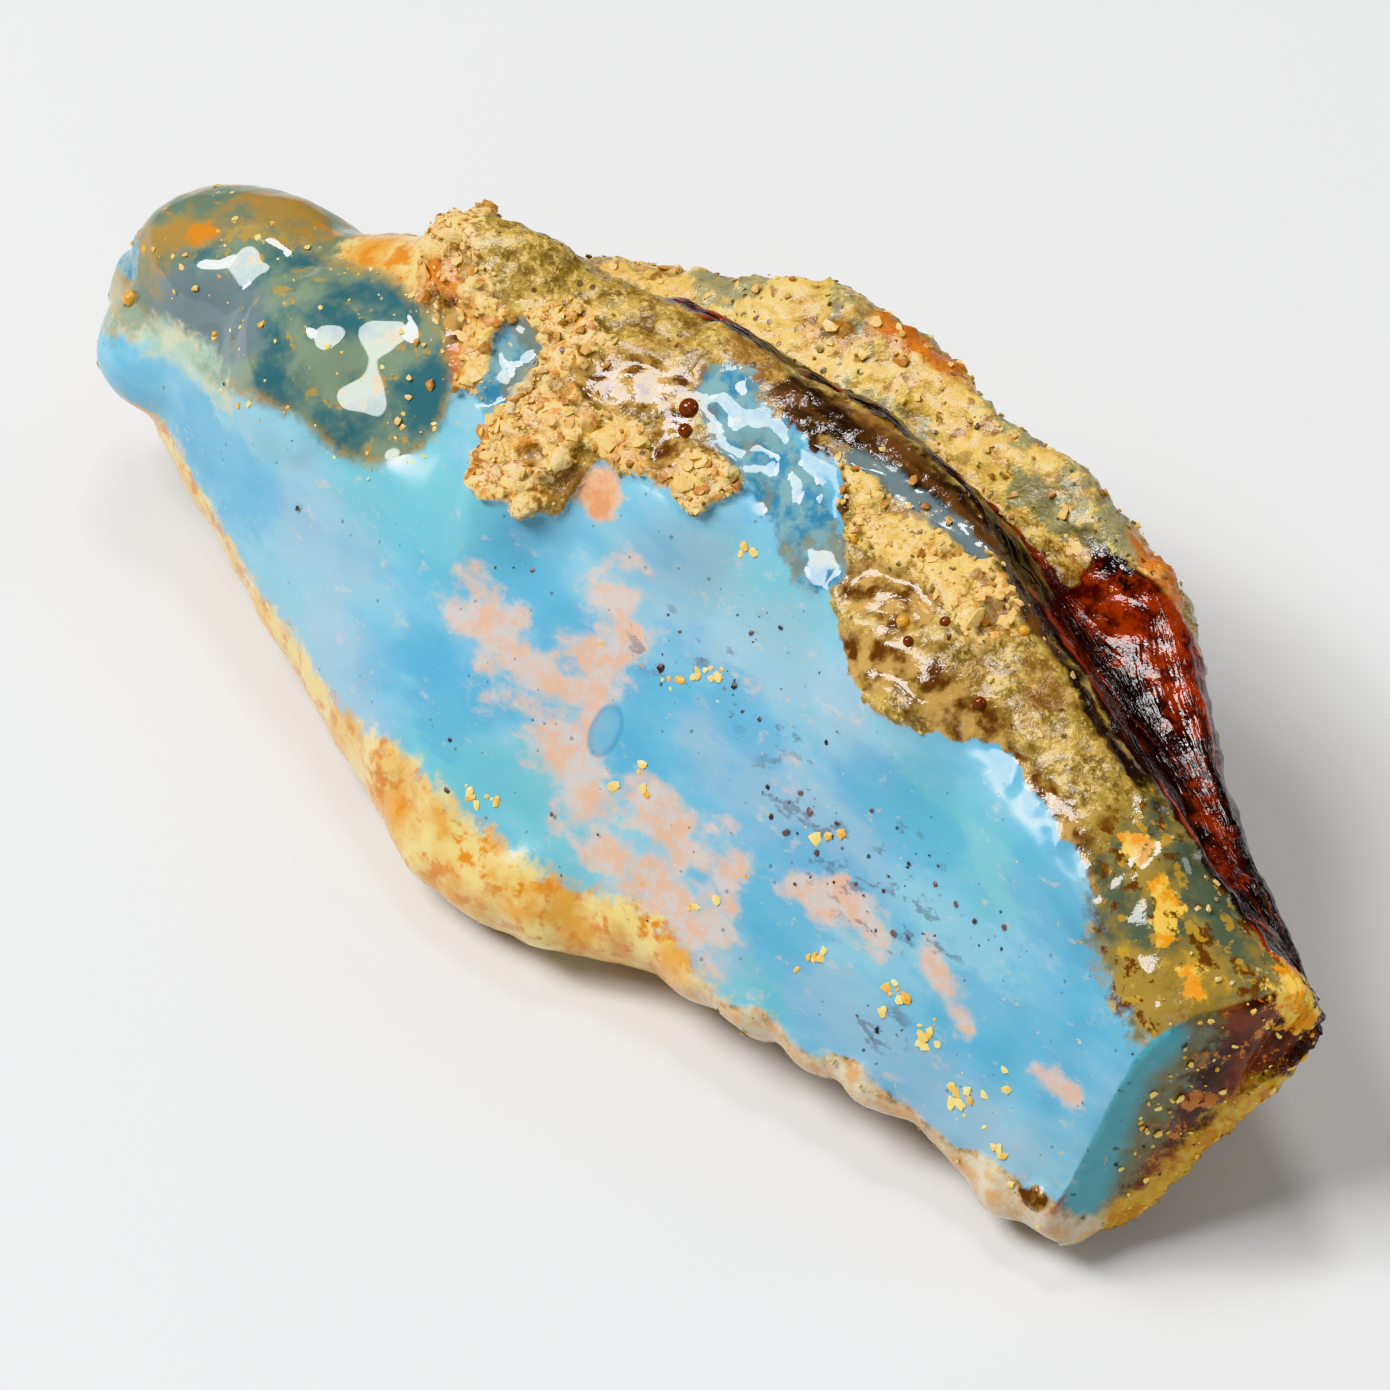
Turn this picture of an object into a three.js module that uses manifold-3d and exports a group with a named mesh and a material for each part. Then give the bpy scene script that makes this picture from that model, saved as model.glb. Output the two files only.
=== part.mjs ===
// A raw piece of blue amber, about 55 mm long: one stone, broken from a vein, with one ground face.
// Millimetres, +Z up, +X along the stone towards its broken end. The ground window leans back over -Y,
// the rough rind runs along the crest above it, and a second ledge of rind stands behind a valley.
// The origin is under the middle of the stone, on the surface that it rests on.

import * as THREE from "three";
import { ImprovedNoise } from "three/addons/math/ImprovedNoise.js";
import { mergeVertices } from "three/addons/utils/BufferGeometryUtils.js";
import Module from "manifold-3d";

const wasm = await Module();
wasm.setup();

// ---- Driving dimensions ----

const TIP_X = -29; // the thin end of the stone
const STATION_STEP = 7; // between the cross-sections that the rails give
const STEPS_PER_STATION = 6; // rings of the skin in each such stretch
const STEPS_PER_RAIL = 5; // points of a ring between one rail and the next
const WINDOW_CROWN = 0.55; // how far the ground window stands proud of flat
const RIND_CROWN = 0.9; // the same for the rind above the window
const SCALLOP_LENGTH = 3.6; // of the chips along the window's lower edge
const SCALLOP_DEPTH = 0.45;
const LUMP_LENGTH = 4.2; // across the lumps of the skin
const LOBE_LUMP_LENGTH = 2.2; // across the lumps of a lobe
const LOBE_DETAIL = 5; // subdivisions of each lobe's surface

// The broken end: a plane through END_POINT that faces along END_NORMAL.
const END_POINT = new THREE.Vector3(23.6, -3.6, 6);
const END_NORMAL = new THREE.Vector3(0.79, -0.6, 0.1).normalize();

// ---- Rails: the stone's long edges, each as its y and its z at every station from the thin end ----

const RAILS = {
  toe: {
    y: [3, -0.8, -4.1, -7.2, -7.6, -7.8, -7.8, -7.9, -6.4],
    z: [6, 4.9, 4.4, 4.4, 3.9, 3.3, 3, 2.4, 2.2],
  },
  brow: {
    y: [3.2, 0.9, 0.6, 1.2, 2.4, 1.4, -0.2, -3.4, -7.2],
    z: [8.6, 10.3, 12, 13.2, 14, 13.8, 13.2, 11.4, 8.4],
  },
  crest: {
    y: [4, 6.2, 7, 7.8, 7.6, 6.8, 3.6, 0.8, -1],
    z: [9.8, 12.8, 15.6, 17, 17.4, 16.8, 15, 12.9, 10.6],
  },
  valley: {
    y: [4.6, 7.6, 9, 9.8, 10, 9.2, 6.4, 2.6, -0.2],
    z: [9.2, 11.4, 13, 13.8, 14.2, 13.2, 11.6, 10.6, 8.9],
  },
  ledge: {
    y: [5, 8.8, 10.6, 12.2, 12.8, 11.4, 9.6, 4, -0.8],
    z: [8.2, 10.2, 11.8, 13.9, 15.3, 15.1, 13.4, 10.4, 7.9],
  },
  back: {
    y: [5, 9.8, 12.2, 14, 14.8, 13.8, 11, 3.2, -2.1],
    z: [7, 7, 7.8, 8.4, 8.8, 8.2, 7, 6.4, 7],
  },
  heel: {
    y: [4.6, 7.8, 9.6, 11.4, 12, 10.6, 6.4, -1, -3.2],
    z: [5.8, 2.4, 0.8, -0.4, -0.8, -0.6, -0.2, 2.6, 6.4],
  },
  keel: {
    y: [3.8, 4, 3, 2, 2, 2, -0.8, -4.2, -4.2],
    z: [5.2, 1.4, -0.6, -1.2, -1.4, -1.2, -1, 0.8, 5],
  },
  belly: {
    y: [3.4, 0.2, -3.2, -6.2, -6.2, -5, -5, -6.2, -4.6],
    z: [5.2, 2.8, 1.6, 0.9, 0.7, 0.5, 0.4, 0.6, 3.2],
  },
};

// How lumpy the skin is at each rail, in millimetres: ground smooth on the window, rough on the rind.
const LUMPS = {
  toe: 0.15, paneLow: 0, paneHigh: 0, brow: 0.4, rind: 0.45, crest: 0.4, valley: 0.45, ledge: 0.6,
  back: 0.8, heel: 0.6, keel: 0.4, belly: 0.4,
};

// ---- Swells of the skin and lobes that stand out of it ----
// Each has its centre, its half sizes along the stone, up its face and out of it, the lean of that face
// back from level, the swing of its length on that face, both in degrees. A swell has also how far
// it pushes the skin out, and a lobe how lumpy it is.

const SWELLS = {
  rindHump: { at: [-13.6, 7.4, 16.4], half: [4.4, 4.2, 5], lean: 10, swing: 0, rise: 2.2 },
  hangingScar: { at: [-8.6, 1.4, 12.8], half: [3, 4.8, 5], lean: 42, swing: -14, rise: 1.5 },
  browLump: { at: [-2.8, 2.6, 13.8], half: [4.4, 3, 5], lean: 42, swing: 0, rise: 1.2 },
  beadStep: { at: [2.6, 2.8, 14], half: [3, 3, 5], lean: 42, swing: 20, rise: 0.6 },
  shoulderLump: { at: [8, 0.8, 13.4], half: [5.4, 4, 5], lean: 42, swing: -18, rise: 1.4 },
  endShoulder: { at: [15.6, -1.6, 12.4], half: [5.4, 2.8, 5], lean: 38, swing: -24, rise: 0.9 },
  ledgeKnob: { at: [-4.4, 12.6, 14.8], half: [4.6, 3, 5], lean: 0, swing: 0, rise: 0.5 },
  ledgeSaddle: { at: [3, 12, 15], half: [4, 4, 5], lean: 0, swing: 0, rise: -0.5 },
  backSwell: { at: [-9, 13, 7], half: [8, 6, 6], lean: -80, swing: 0, rise: 1.2 },
  backDip: { at: [4, 14, 6], half: [6, 6, 6], lean: -80, swing: 0, rise: -1.2 },
};

const LOBES = {
  upperTip: { at: [-23.2, 5.2, 10], half: [5.3, 3.6, 3.1], lean: 24, swing: 4, lumps: 0.3 },
  lowerTip: { at: [-25.7, 2.8, 7.3], half: [3, 2.6, 2.1], lean: 20, swing: -10, lumps: 0.2 },
  nodule: { at: [-17.6, 2.8, 10.6], half: [4.8, 4.3, 3], lean: 42, swing: -16, lumps: 0.4 },
  goldBelly: { at: [-3.8, -5.4, 2.7], half: [6.4, 3.2, 2.9], lean: 0, swing: -4, lumps: 0.5 },
  cornerFoot: { at: [19, -6.2, 2.3], half: [3.6, 2.2, 1.8], lean: 0, swing: 0, lumps: 0.25 },
};

// ---- Small helpers ----

const noise = new ImprovedNoise();

// Noise from about -1 to 1 in two octaves, for lumps about `length` across.
function lumpNoise(point, length) {
  const p = point.clone().divideScalar(length);
  const coarse = noise.noise(p.x, p.y, p.z);
  const fine = noise.noise(p.x * 2.3 + 7.1, p.y * 2.3, p.z * 2.3);
  return coarse + 0.45 * fine;
}

// The frame of a swell or a lobe: its x along the stone, its y up the leaning face and its z out of it.
function faceFrame({ at, lean, swing }) {
  const turn = new THREE.Matrix4().makeRotationX(THREE.MathUtils.degToRad(lean));
  turn.multiply(new THREE.Matrix4().makeRotationZ(THREE.MathUtils.degToRad(swing)));
  return turn.setPosition(...at);
}

function solidOf(geometry) {
  const bare = geometry.clone();
  bare.deleteAttribute("normal");
  bare.deleteAttribute("uv");
  const merged = mergeVertices(bare, 1e-4);
  return new wasm.Manifold(
    new wasm.Mesh({
      numProp: 3,
      vertProperties: merged.attributes.position.array,
      triVerts: new Uint32Array(merged.index.array),
    }),
  );
}

function geometryOf(solid) {
  const mesh = solid.getMesh();
  const geometry = new THREE.BufferGeometry();
  geometry.setAttribute("position", new THREE.BufferAttribute(mesh.vertProperties, 3));
  geometry.setIndex(new THREE.BufferAttribute(mesh.triVerts, 1));
  return geometry;
}

// ---- The skin lofted over the rails ----

// A rail as a curve along the stone. Every rail has the same stations, so one t is one cross-section.
function railCurve({ y, z }) {
  const points = y.map((side, i) => new THREE.Vector3(TIP_X + i * STATION_STEP, side, z[i]));
  return new THREE.CatmullRomCurve3(points, false, "catmullrom", 0.5);
}

const curves = Object.fromEntries(Object.entries(RAILS).map(([name, rail]) => [name, railCurve(rail)]));

// A point part of the way from one edge to the next, pushed out of the stone by `crown`.
function between(from, to, share, crown) {
  const across = new THREE.Vector3().subVectors(to, from);
  const out = new THREE.Vector3(0, -across.z, across.y).normalize();
  return from.clone().lerp(to, share).addScaledVector(out, crown);
}

// The closed outline of the stone at t, with the two rails that crown the window and the one on the rind.
function sectionAt(t) {
  const edge = Object.fromEntries(Object.entries(curves).map(([name, curve]) => [name, curve.getPoint(t)]));
  const opening = Math.min(1, t * 4);
  const closing = Math.min(1, (1 - t) * 4);
  const { toe, brow, crest, ...rest } = edge;
  const scallop = Math.abs(Math.sin((toe.x * Math.PI) / SCALLOP_LENGTH + Math.sin(toe.x * 0.7)));
  toe.y += SCALLOP_DEPTH * (1 - scallop) * opening;
  toe.z += 0.5 * SCALLOP_DEPTH * (1 - scallop) * opening;
  const paneLow = between(toe, brow, 0.2, 0.9 * WINDOW_CROWN * opening);
  const paneHigh = between(toe, brow, 0.72, WINDOW_CROWN * opening);
  const rind = between(brow, crest, 0.5, RIND_CROWN * opening * closing);
  const ring = { toe, paneLow, paneHigh, brow, rind, crest, ...rest };
  return {
    lumps: Object.keys(ring).map((name) => LUMPS[name] * opening),
    curve: new THREE.CatmullRomCurve3(Object.values(ring), true, "catmullrom", 0.45),
  };
}

const swellFrames = Object.values(SWELLS).map((swell) => {
  const frame = faceFrame(swell);
  const out = new THREE.Vector3().setFromMatrixColumn(frame, 2);
  return { inverse: frame.clone().invert(), out, half: new THREE.Vector3(...swell.half), rise: swell.rise };
});

// Push a point of the skin out by every swell that reaches it, most at the swell's centre.
function swell(point) {
  const start = point.clone();
  for (const { inverse, out, half, rise } of swellFrames) {
    const distance = start.clone().applyMatrix4(inverse).divide(half).lengthSq();
    if (distance < 1) point.addScaledVector(out, rise * (1 - distance) ** 2);
  }
}

// One ring of the skin, made lumpy by pushing each point away from or towards the ring's centre.
function ringAt(t, around) {
  const { lumps, curve } = sectionAt(t);
  const ring = Array.from({ length: around }, (_, k) => curve.getPoint(k / around));
  const centre = new THREE.Vector3();
  ring.forEach((point) => centre.addScaledVector(point, 1 / around));
  ring.forEach((point, k) => {
    const rail = Math.floor(k / STEPS_PER_RAIL);
    const share = (k % STEPS_PER_RAIL) / STEPS_PER_RAIL;
    const height = THREE.MathUtils.lerp(lumps[rail], lumps[(rail + 1) % lumps.length], share);
    const out = point.clone().sub(centre).normalize();
    point.addScaledVector(out, height * lumpNoise(point, LUMP_LENGTH));
    swell(point);
  });
  return { ring, centre };
}

function loftedSkin() {
  const around = Object.keys(LUMPS).length * STEPS_PER_RAIL;
  const count = (RAILS.toe.y.length - 1) * STEPS_PER_STATION;
  const rings = Array.from({ length: count + 1 }, (_, i) => ringAt(i / count, around));
  const points = rings.flatMap(({ ring }) => ring);
  points.push(rings[0].centre, rings[count].centre);
  const [tip, end] = [points.length - 2, points.length - 1];
  const faces = [];
  for (let k = 0; k < around; k++) {
    const next = (k + 1) % around;
    for (let i = 0; i < count; i++) {
      const [a, b] = [i * around + k, i * around + next];
      faces.push(a, a + around, b, b, a + around, b + around);
    }
    faces.push(tip, k, next, end, count * around + next, count * around + k);
  }
  const geometry = new THREE.BufferGeometry();
  geometry.setFromPoints(points);
  geometry.setIndex(faces);
  return geometry;
}

// ---- Lobes, the broken end and the resting face ----

function lobeSolid(lobe) {
  const geometry = new THREE.IcosahedronGeometry(1, LOBE_DETAIL);
  const frame = faceFrame(lobe);
  const centre = new THREE.Vector3(...lobe.at);
  const half = new THREE.Vector3(...lobe.half);
  const position = geometry.attributes.position;
  const point = new THREE.Vector3();
  for (let i = 0; i < position.count; i++) {
    point.fromBufferAttribute(position, i).multiply(half).applyMatrix4(frame);
    const out = point.clone().sub(centre).normalize();
    point.addScaledVector(out, lobe.lumps * lumpNoise(point, LOBE_LUMP_LENGTH));
    position.setXYZ(i, point.x, point.y, point.z);
  }
  return solidOf(geometry);
}

// A block whose near face is the plane through `point` and whose body lies along `normal` from there.
function blockBeyond(point, normal) {
  const side = 80;
  const geometry = new THREE.BoxGeometry(side, side, side);
  geometry.translate(0, 0, side / 2);
  const turn = new THREE.Quaternion().setFromUnitVectors(new THREE.Vector3(0, 0, 1), normal);
  geometry.applyQuaternion(turn);
  geometry.translate(point.x, point.y, point.z);
  return solidOf(geometry);
}

function amberPiece() {
  let stone = solidOf(loftedSkin());
  for (const lobe of Object.values(LOBES)) {
    stone = stone.add(lobeSolid(lobe));
  }
  stone = stone.subtract(blockBeyond(END_POINT, END_NORMAL));
  stone = stone.subtract(blockBeyond(new THREE.Vector3(0, 0, 0), new THREE.Vector3(0, 0, -1)));
  return geometryOf(stone);
}

// ---- The scene graph ----

const amber = new THREE.MeshStandardMaterial({ color: 0x5fb4dc, roughness: 0.15, metalness: 0 });
const stone = new THREE.Mesh(amberPiece(), amber);
stone.name = "amber_piece";
stone.geometry.computeBoundingBox();
const middle = stone.geometry.boundingBox.getCenter(new THREE.Vector3());
stone.geometry.translate(-middle.x, -middle.y, 0);

const part = new THREE.Group();
part.add(stone);

export default part;
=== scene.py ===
"""A raw piece of blue amber: the stone with its rind, what is sealed in it and what clings to it.

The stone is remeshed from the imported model, roughened region by region and given one amber material.
Lengths in the tables below are millimetres in the part's frame: +X along the stone towards its broken
end, +Z up, the ground window facing -Y and leaning back.
"""

import math

import bpy
import numpy as np
from bpy.props import FloatProperty, FloatVectorProperty, IntProperty, PointerProperty
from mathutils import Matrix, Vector, noise


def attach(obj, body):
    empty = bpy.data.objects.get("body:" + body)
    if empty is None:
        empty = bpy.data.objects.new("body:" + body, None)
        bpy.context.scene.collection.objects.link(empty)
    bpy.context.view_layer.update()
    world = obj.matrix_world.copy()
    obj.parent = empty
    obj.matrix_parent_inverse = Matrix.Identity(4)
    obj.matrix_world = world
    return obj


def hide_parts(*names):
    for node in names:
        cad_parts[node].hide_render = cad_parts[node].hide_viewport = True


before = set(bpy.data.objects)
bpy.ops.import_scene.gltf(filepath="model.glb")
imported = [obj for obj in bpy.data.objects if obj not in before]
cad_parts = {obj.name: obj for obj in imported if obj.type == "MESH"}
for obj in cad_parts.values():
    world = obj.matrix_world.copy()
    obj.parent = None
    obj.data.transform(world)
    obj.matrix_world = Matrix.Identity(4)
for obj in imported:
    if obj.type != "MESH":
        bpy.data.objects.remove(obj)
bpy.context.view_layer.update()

MM = 0.001

bl_info = {
    "name": "Raw Amber Piece",
    "version": (1, 0, 0),
    "blender": (4, 5, 0),
    "location": "View3D > Sidebar > Amber",
    "description": "Builds a raw piece of blue amber with its rind, flecks and sealed specks",
    "category": "Object",
}

# ---- The stone's long edges ----
# Each is its y and its z at the stations, which run along X from the thin end.

STATIONS = [-27.5, -20.5, -13.5, -6.5, 0.5, 7.5, 14.5, 21.5, 28.5]
EDGES = {
    "toe": (
        [-0.4, -4.2, -7.5, -10.6, -11, -11.2, -11.2, -11.3, -9.8],
        [6, 4.9, 4.4, 4.4, 3.9, 3.3, 3, 2.4, 2.2],
    ),
    "brow": (
        [-0.2, -2.5, -2.8, -2.2, -1, -2, -3.6, -6.8, -10.6],
        [8.6, 10.3, 12, 13.2, 14, 13.8, 13.2, 11.4, 8.4],
    ),
    "crest": (
        [0.6, 2.8, 3.6, 4.4, 4.2, 3.4, 0.2, -2.6, -4.4],
        [9.8, 12.8, 15.6, 17, 17.4, 16.8, 15, 12.9, 10.6],
    ),
    "valley": (
        [1.2, 4.2, 5.6, 6.4, 6.6, 5.8, 3, -0.8, -3.6],
        [9.2, 11.4, 13, 13.8, 14.2, 13.2, 11.6, 10.6, 8.9],
    ),
    "ledge": (
        [1.6, 5.4, 7.2, 8.8, 9.4, 8, 6.2, 0.6, -4.2],
        [8.2, 10.2, 11.8, 13.9, 15.3, 15.1, 13.4, 10.4, 7.9],
    ),
    "back": ([1.6, 6.4, 8.8, 10.6, 11.4, 10.4, 7.6, -0.2, -5.5], [7, 7, 7.8, 8.4, 8.8, 8.2, 7, 6.4, 7]),
    "heel": ([1.2, 4.4, 6.2, 8, 8.6, 7.2, 3, -4.4, -6.6], [5.8, 2.4, 0.8, -0.4, -0.8, -0.6, -0.2, 2.6, 6.4]),
    "keel": (
        [0.4, 0.6, -0.4, -1.4, -1.4, -1.4, -4.2, -7.6, -7.6],
        [5.2, 1.4, -0.6, -1.2, -1.4, -1.2, -1, 0.8, 5],
    ),
    "belly": (
        [0, -3.2, -6.6, -9.6, -9.6, -8.4, -8.4, -9.6, -8],
        [5.2, 2.8, 1.6, 0.9, 0.7, 0.5, 0.4, 0.6, 3.2],
    ),
}
TOE, BROW, CREST, VALLEY, LEDGE, BACK, HEEL, KEEL, BELLY = range(9)

# ---- The window, in its own plane ----
# A place on it is (x, up), where up is measured along the leaning face.
# A cloud or a drift is a path of places and how far it reaches from the path.

WINDOW_LEAN = math.radians(46.6)
WINDOW_OUT = (0, -math.sin(WINDOW_LEAN), math.cos(WINDOW_LEAN))
RIND_EDGE = [
    (-27.5, 5.6), (-25.5, 6.2), (-21.4, 6.6), (-18.8, 6.6), (-16.1, 6.4), (-14.1, 6.7), (-12, 7.6),
    (-11.4, 9.6), (-9.4, 9.9), (-8.2, 7.2), (-6.1, 7.2), (-4.8, 7.8), (-4.6, 10), (-2.7, 10.2), (-0.1, 10.1),
    (0.8, 11.4), (1.2, 14), (3.8, 13.6), (4.9, 12.2), (5.8, 9.6), (7.4, 8.2), (9.1, 7.3), (10.1, 7.1),
    (12.6, 7.6), (13.9, 8.1), (16.3, 7.2), (18.3, 6.3), (19.9, 5.2), (21.7, 3.9), (23, 3), (23.7, 1.8),
]
TOE_EDGE = [
    (-27.5, 1.5), (-25.2, 1.8), (-23.8, 1.9), (-19.8, 0.4), (-17.4, -0.9), (-13.3, -2.4), (-9.9, -3.4),
    (-7.2, -3.2), (-4.6, -3.5), (-2, -4.2), (1, -4.4), (3.1, -3.7), (5.1, -4.2), (7.2, -4.9), (9.6, -4.6),
    (12, -5), (13.6, -4.4), (15.5, -4.9), (17.7, -5.3), (19.9, -5), (22, -5.4), (28.5, -5.4),
]
PEACH_CLOUDS = [
    ([(-1.9, 6.2), (-0.9, 4.6)], 1.1),
    ([(-6.5, 3.1), (-4.5, 2.1), (-2.2, 2.1), (-1, 2.3)], 1.1),
    ([(-2.6, 3.4), (-1.2, 3.6)], 0.8),
    ([(-1.2, 0.5), (0.2, -1), (1.6, -2.3), (4.3, -2.5), (6.3, -3)], 1.2),
    ([(2.3, 0), (4.7, -0.7), (6.3, -0.3)], 0.9),
    ([(9, 0.2), (11.1, 0.3), (12.5, 0)], 0.7),
    ([(14.7, 0.4), (15.5, -0.3), (16.7, -1.1)], 0.5),
    ([(20, -1.2), (21.6, -1.5)], 0.35),
]
TEAL_WATERS = [
    ([(-5.2, -2.2), (-1.9, -2.1), (0.4, -3.2)], 1.7),
    ([(-2.9, -4.5), (0.1, -4.2)], 1.2),
    ([(-12.2, 5.8), (-8.5, 5.6)], 2),
    ([(2.3, 8.2), (5, 8.4)], 1.6),
    ([(12.5, 4.9), (16, 4.3)], 1.6),
    ([(6.4, -4.1), (9.3, -4.2)], 1.2),
]
DEEP_WATERS = [
    ([(-6.4, 0), (-5.1, 0.2)], 1.2),
    ([(3.8, 4.7), (5.5, 4)], 1),
    ([(8.6, 1.3), (11, 0.6)], 1),
    ([(6.2, -1.1), (9.7, -1.2)], 1.3),
    ([(-3.2, 4.3), (-2.1, 3.7)], 0.9),
    ([(10, 4.8), (13.1, 3.6)], 1.2),
    ([(16.3, -0.5), (20.3, -0.7)], 1.6),
    ([(17.7, 4.9), (20.3, 3.5)], 1.4),
    ([(-20.6, 3.3), (-17.3, 2.1)], 1.6),
    ([(0, 2.8), (1.9, 0.7)], 1.1),
    ([(-7.7, 0.9), (-5.5, -0.7)], 1.2),
]
LILAC_HAZES = [
    ([(0.2, 7.6), (3.8, 7), (7.9, 6.8)], 1.8),
    ([(6.1, 2.8), (10.4, 1.9)], 1.6),
    ([(4, -3.8), (7.4, -3.6)], 1.2),
    ([(-12, 0), (-9.1, -2.6)], 1.4),
    ([(3.3, 3.3), (4.4, 2.3)], 0.8),
    ([(16.3, -3.7), (19.6, -4.6)], 1.4),
    ([(-14.8, 2.6), (-12.4, 2.1)], 1.6),
    ([(11.3, -2.8), (14.2, -3.6)], 1.2),
]
SPECK_DRIFTS = [
    ([(0.4, 5.4), (4, 5.2), (7.1, 5.2)], 1.2),
    ([(7, 2.8), (9.7, 1.5), (11.7, 1)], 1.3),
    ([(12, 0.4), (14.7, 1.2), (16.9, 2.1)], 1),
    ([(13.1, -3), (14.2, -2.8)], 0.9),
    ([(3.3, 6.4), (5.6, 6.4)], 1.2),
    ([(12.2, 2.8), (15.3, 1.7)], 1.2),
]
GOLD_SPOTS = [
    (2.9, 5.2), (2.6, 5.1), (1.6, 4.2), (1.5, 0), (1.3, 0.3), (2.2, 0.8), (-3.8, -2.4), (-3.2, -2.7),
    (10.8, -1.8), (10.6, -2.2), (14.1, -1.3), (15.6, -2), (17.2, -3.4), (17.8, -3.3), (17.6, -3.7),
    (18.8, -4.2), (18.1, -3.9), (1.7, 9.5), (18.9, -2.2), (13.8, -1.8), (15.7, -2.6), (5.8, -2.1), (9.5, 2.1),
    (19.9, -5.3),
]
PEACH_SPOT = [([(-3.9, 9), (-3.8, 8.9)], 1)]
BLUE_SPOT = [([(0, 1.5), (0, 1.7)], 0.9)]
BLUE_SPOT_SQUEEZE = (1.5, 1)  # it is taller than wide

# ---- Regions on the rest of the skin: a path of (x, y, z) and how far the region reaches from it ----

GLASSY_NODULE = [([(-20.6, -0.6, 11.9), (-18.4, -1, 12.7), (-15.8, -1, 13.3), (-13.8, -1.5, 13.1)], 3)]
TIP_GLASS = [([(-26, 0.5, 11), (-24, 2.6, 12), (-21.4, 3.2, 12)], 3.4)]
PALE_BAND = [
    ([(-27.2, -0.4, 8.7), (-25.8, -1.3, 8.8), (-23.9, -1.8, 9.2), (-21.7, -2.2, 9.8), (-19.8, -3, 10)], 0.7),
]
BLUE_GAPS = [
    ([(-27.6, 0.8, 9.4), (-26.4, 0, 10.2)], 0.8),
    ([(-1.4, 2.2, 17), (0.6, 1.2, 16.6), (3, 0.3, 16), (4.6, -0.9, 15.3)], 1.15),
    ([(-9.2, -0.6, 14.6), (-9.5, 1, 15.6)], 0.9),
]
CORNER_OLIVES = [
    ([(20.6, -3.6, 13.3), (22.6, -4.2, 12.4), (24.4, -5, 11.6)], 2),
    ([(20.6, -5.6, 12.2), (22.4, -6.6, 11), (23.5, -7.2, 10.2)], 1.1),
]
GOLD_CRUSTS = [
    ([(-14.1, 2.4, 15.6), (-12.4, 0.9, 15.2), (-11.3, -0.8, 14)], 2.4),
    ([(-7.9, 1.4, 16), (-7.1, -0.4, 15.4), (-7.2, -2.4, 14.7), (-7.4, -3.6, 13.8)], 1.7),
    ([(-4.7, -0.4, 15.3), (-2.8, -0.5, 15.5), (-1.1, -0.5, 15.6), (0.2, -0.3, 15.6)], 0.9),
    ([(4.8, 1.5, 17), (6.6, 1.3, 16.8), (9.4, 0.8, 16.3), (11, 0.2, 15.9)], 1.3),
    ([(-8.4, 7.3, 13.5), (-2.9, 8.6, 15.1), (1.9, 8.4, 15), (5.7, 7.8, 14.8), (10.6, 7.4, 14.4)], 2.2),
    ([(10.6, 7.4, 14.4), (13.4, 7, 13.9)], 1.1),
]
# The smooth gold of the belly and of the toe at the thin end: partly the amber's own gold, partly painted glow of
# light passing through the thin stone.
SMOOTH_GOLDS = [
    ([(-7.4, -10, 3.8), (-4.2, -11.8, 2.9), (-0.9, -12, 3.2), (2, -11.3, 2.3), (4.7, -10.8, 3.3)], 3),
    ([(-23.6, -2.8, 6.2), (-19.4, -4.3, 3.9), (-14.5, -6.8, 3.4), (-10.2, -9.1, 3.3)], 2.4),
]
GLAZED_GOLDS = [([(-20.2, 3.8, 13.5), (-17.3, 2.9, 14.5), (-15.2, 2.4, 15.2)], 1.3)]
YELLOW_SANDS = [
    ([(4.8, 1.5, 17), (6.6, 1.3, 16.8), (9.4, 0.8, 16.3)], 1.3),
    ([(-9.9, -1.4, 14.4), (-10.8, 0.2, 15.2)], 1.2),
    ([(-8.4, 7.3, 13.5), (-2.9, 8.6, 15.1), (5.7, 7.8, 14.8), (11.3, 7, 14.3)], 2),
    ([(-4.7, -0.4, 15.3), (-1.1, -0.5, 15.6)], 0.7),
]
GREY_GREENS = [
    ([(-6.4, 8.6, 13.6), (-4.4, 9, 14)], 1),
    ([(5.4, 9, 13.8), (7.2, 8.6, 14.2)], 0.9),
    ([(8, 6.8, 14.4), (10, 6.6, 14)], 0.7),
    ([(-1, 9.4, 14.6), (2, 9.8, 14)], 1.2),
    ([(9.4, 7.8, 13.8), (12.4, 7.2, 13.8)], 1.1),
    ([(0.6, 6.6, 14.6), (3.6, 6.6, 14.4)], 0.7),
]
BROWN_POCKETS = [
    ([(-5.7, 1, 16), (-4.6, 1.6, 16.4), (-3, 1.5, 16.5)], 0.85),
    ([(-2.6, 0.6, 16.2), (-2.4, -0.4, 15.8)], 0.6),
    ([(6.8, -0.9, 15.6), (8.6, -1.2, 15.6)], 0.9),
    ([(7.7, -3.1, 14.2), (8.6, -2.6, 14.8), (10.4, -2.6, 14.7), (13.2, -3, 14.2)], 0.85),
    ([(13.9, -3.3, 14), (16.3, -4.2, 13.7), (18.5, -5, 13.4), (20, -5.6, 12.7)], 0.6),
    ([(21.2, -11.3, 3.4), (21.5, -11.2, 3)], 0.42),
    ([(-13, 1, 15.6), (-12.2, 0.6, 15.2)], 0.6),
]
RED_GLOWS = [
    ([(7.6, 6.4, 13.4), (8.1, 6.1, 13.2), (11.1, 5.5, 12.9), (14.2, 4.7, 12.6)], 1),
    ([(14.5, 5.9, 13.5), (15.5, 5, 13), (17.4, 3.4, 12.3)], 1),
    ([(18.4, 1.6, 11.9), (22, -0.9, 10.6)], 0.6),
    ([(2.9, 9, 15.2), (4.2, 9, 15)], 0.8),
    ([(14.9, 6.4, 13.2), (17.6, 5, 12.2)], 0.6),
]
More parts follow.
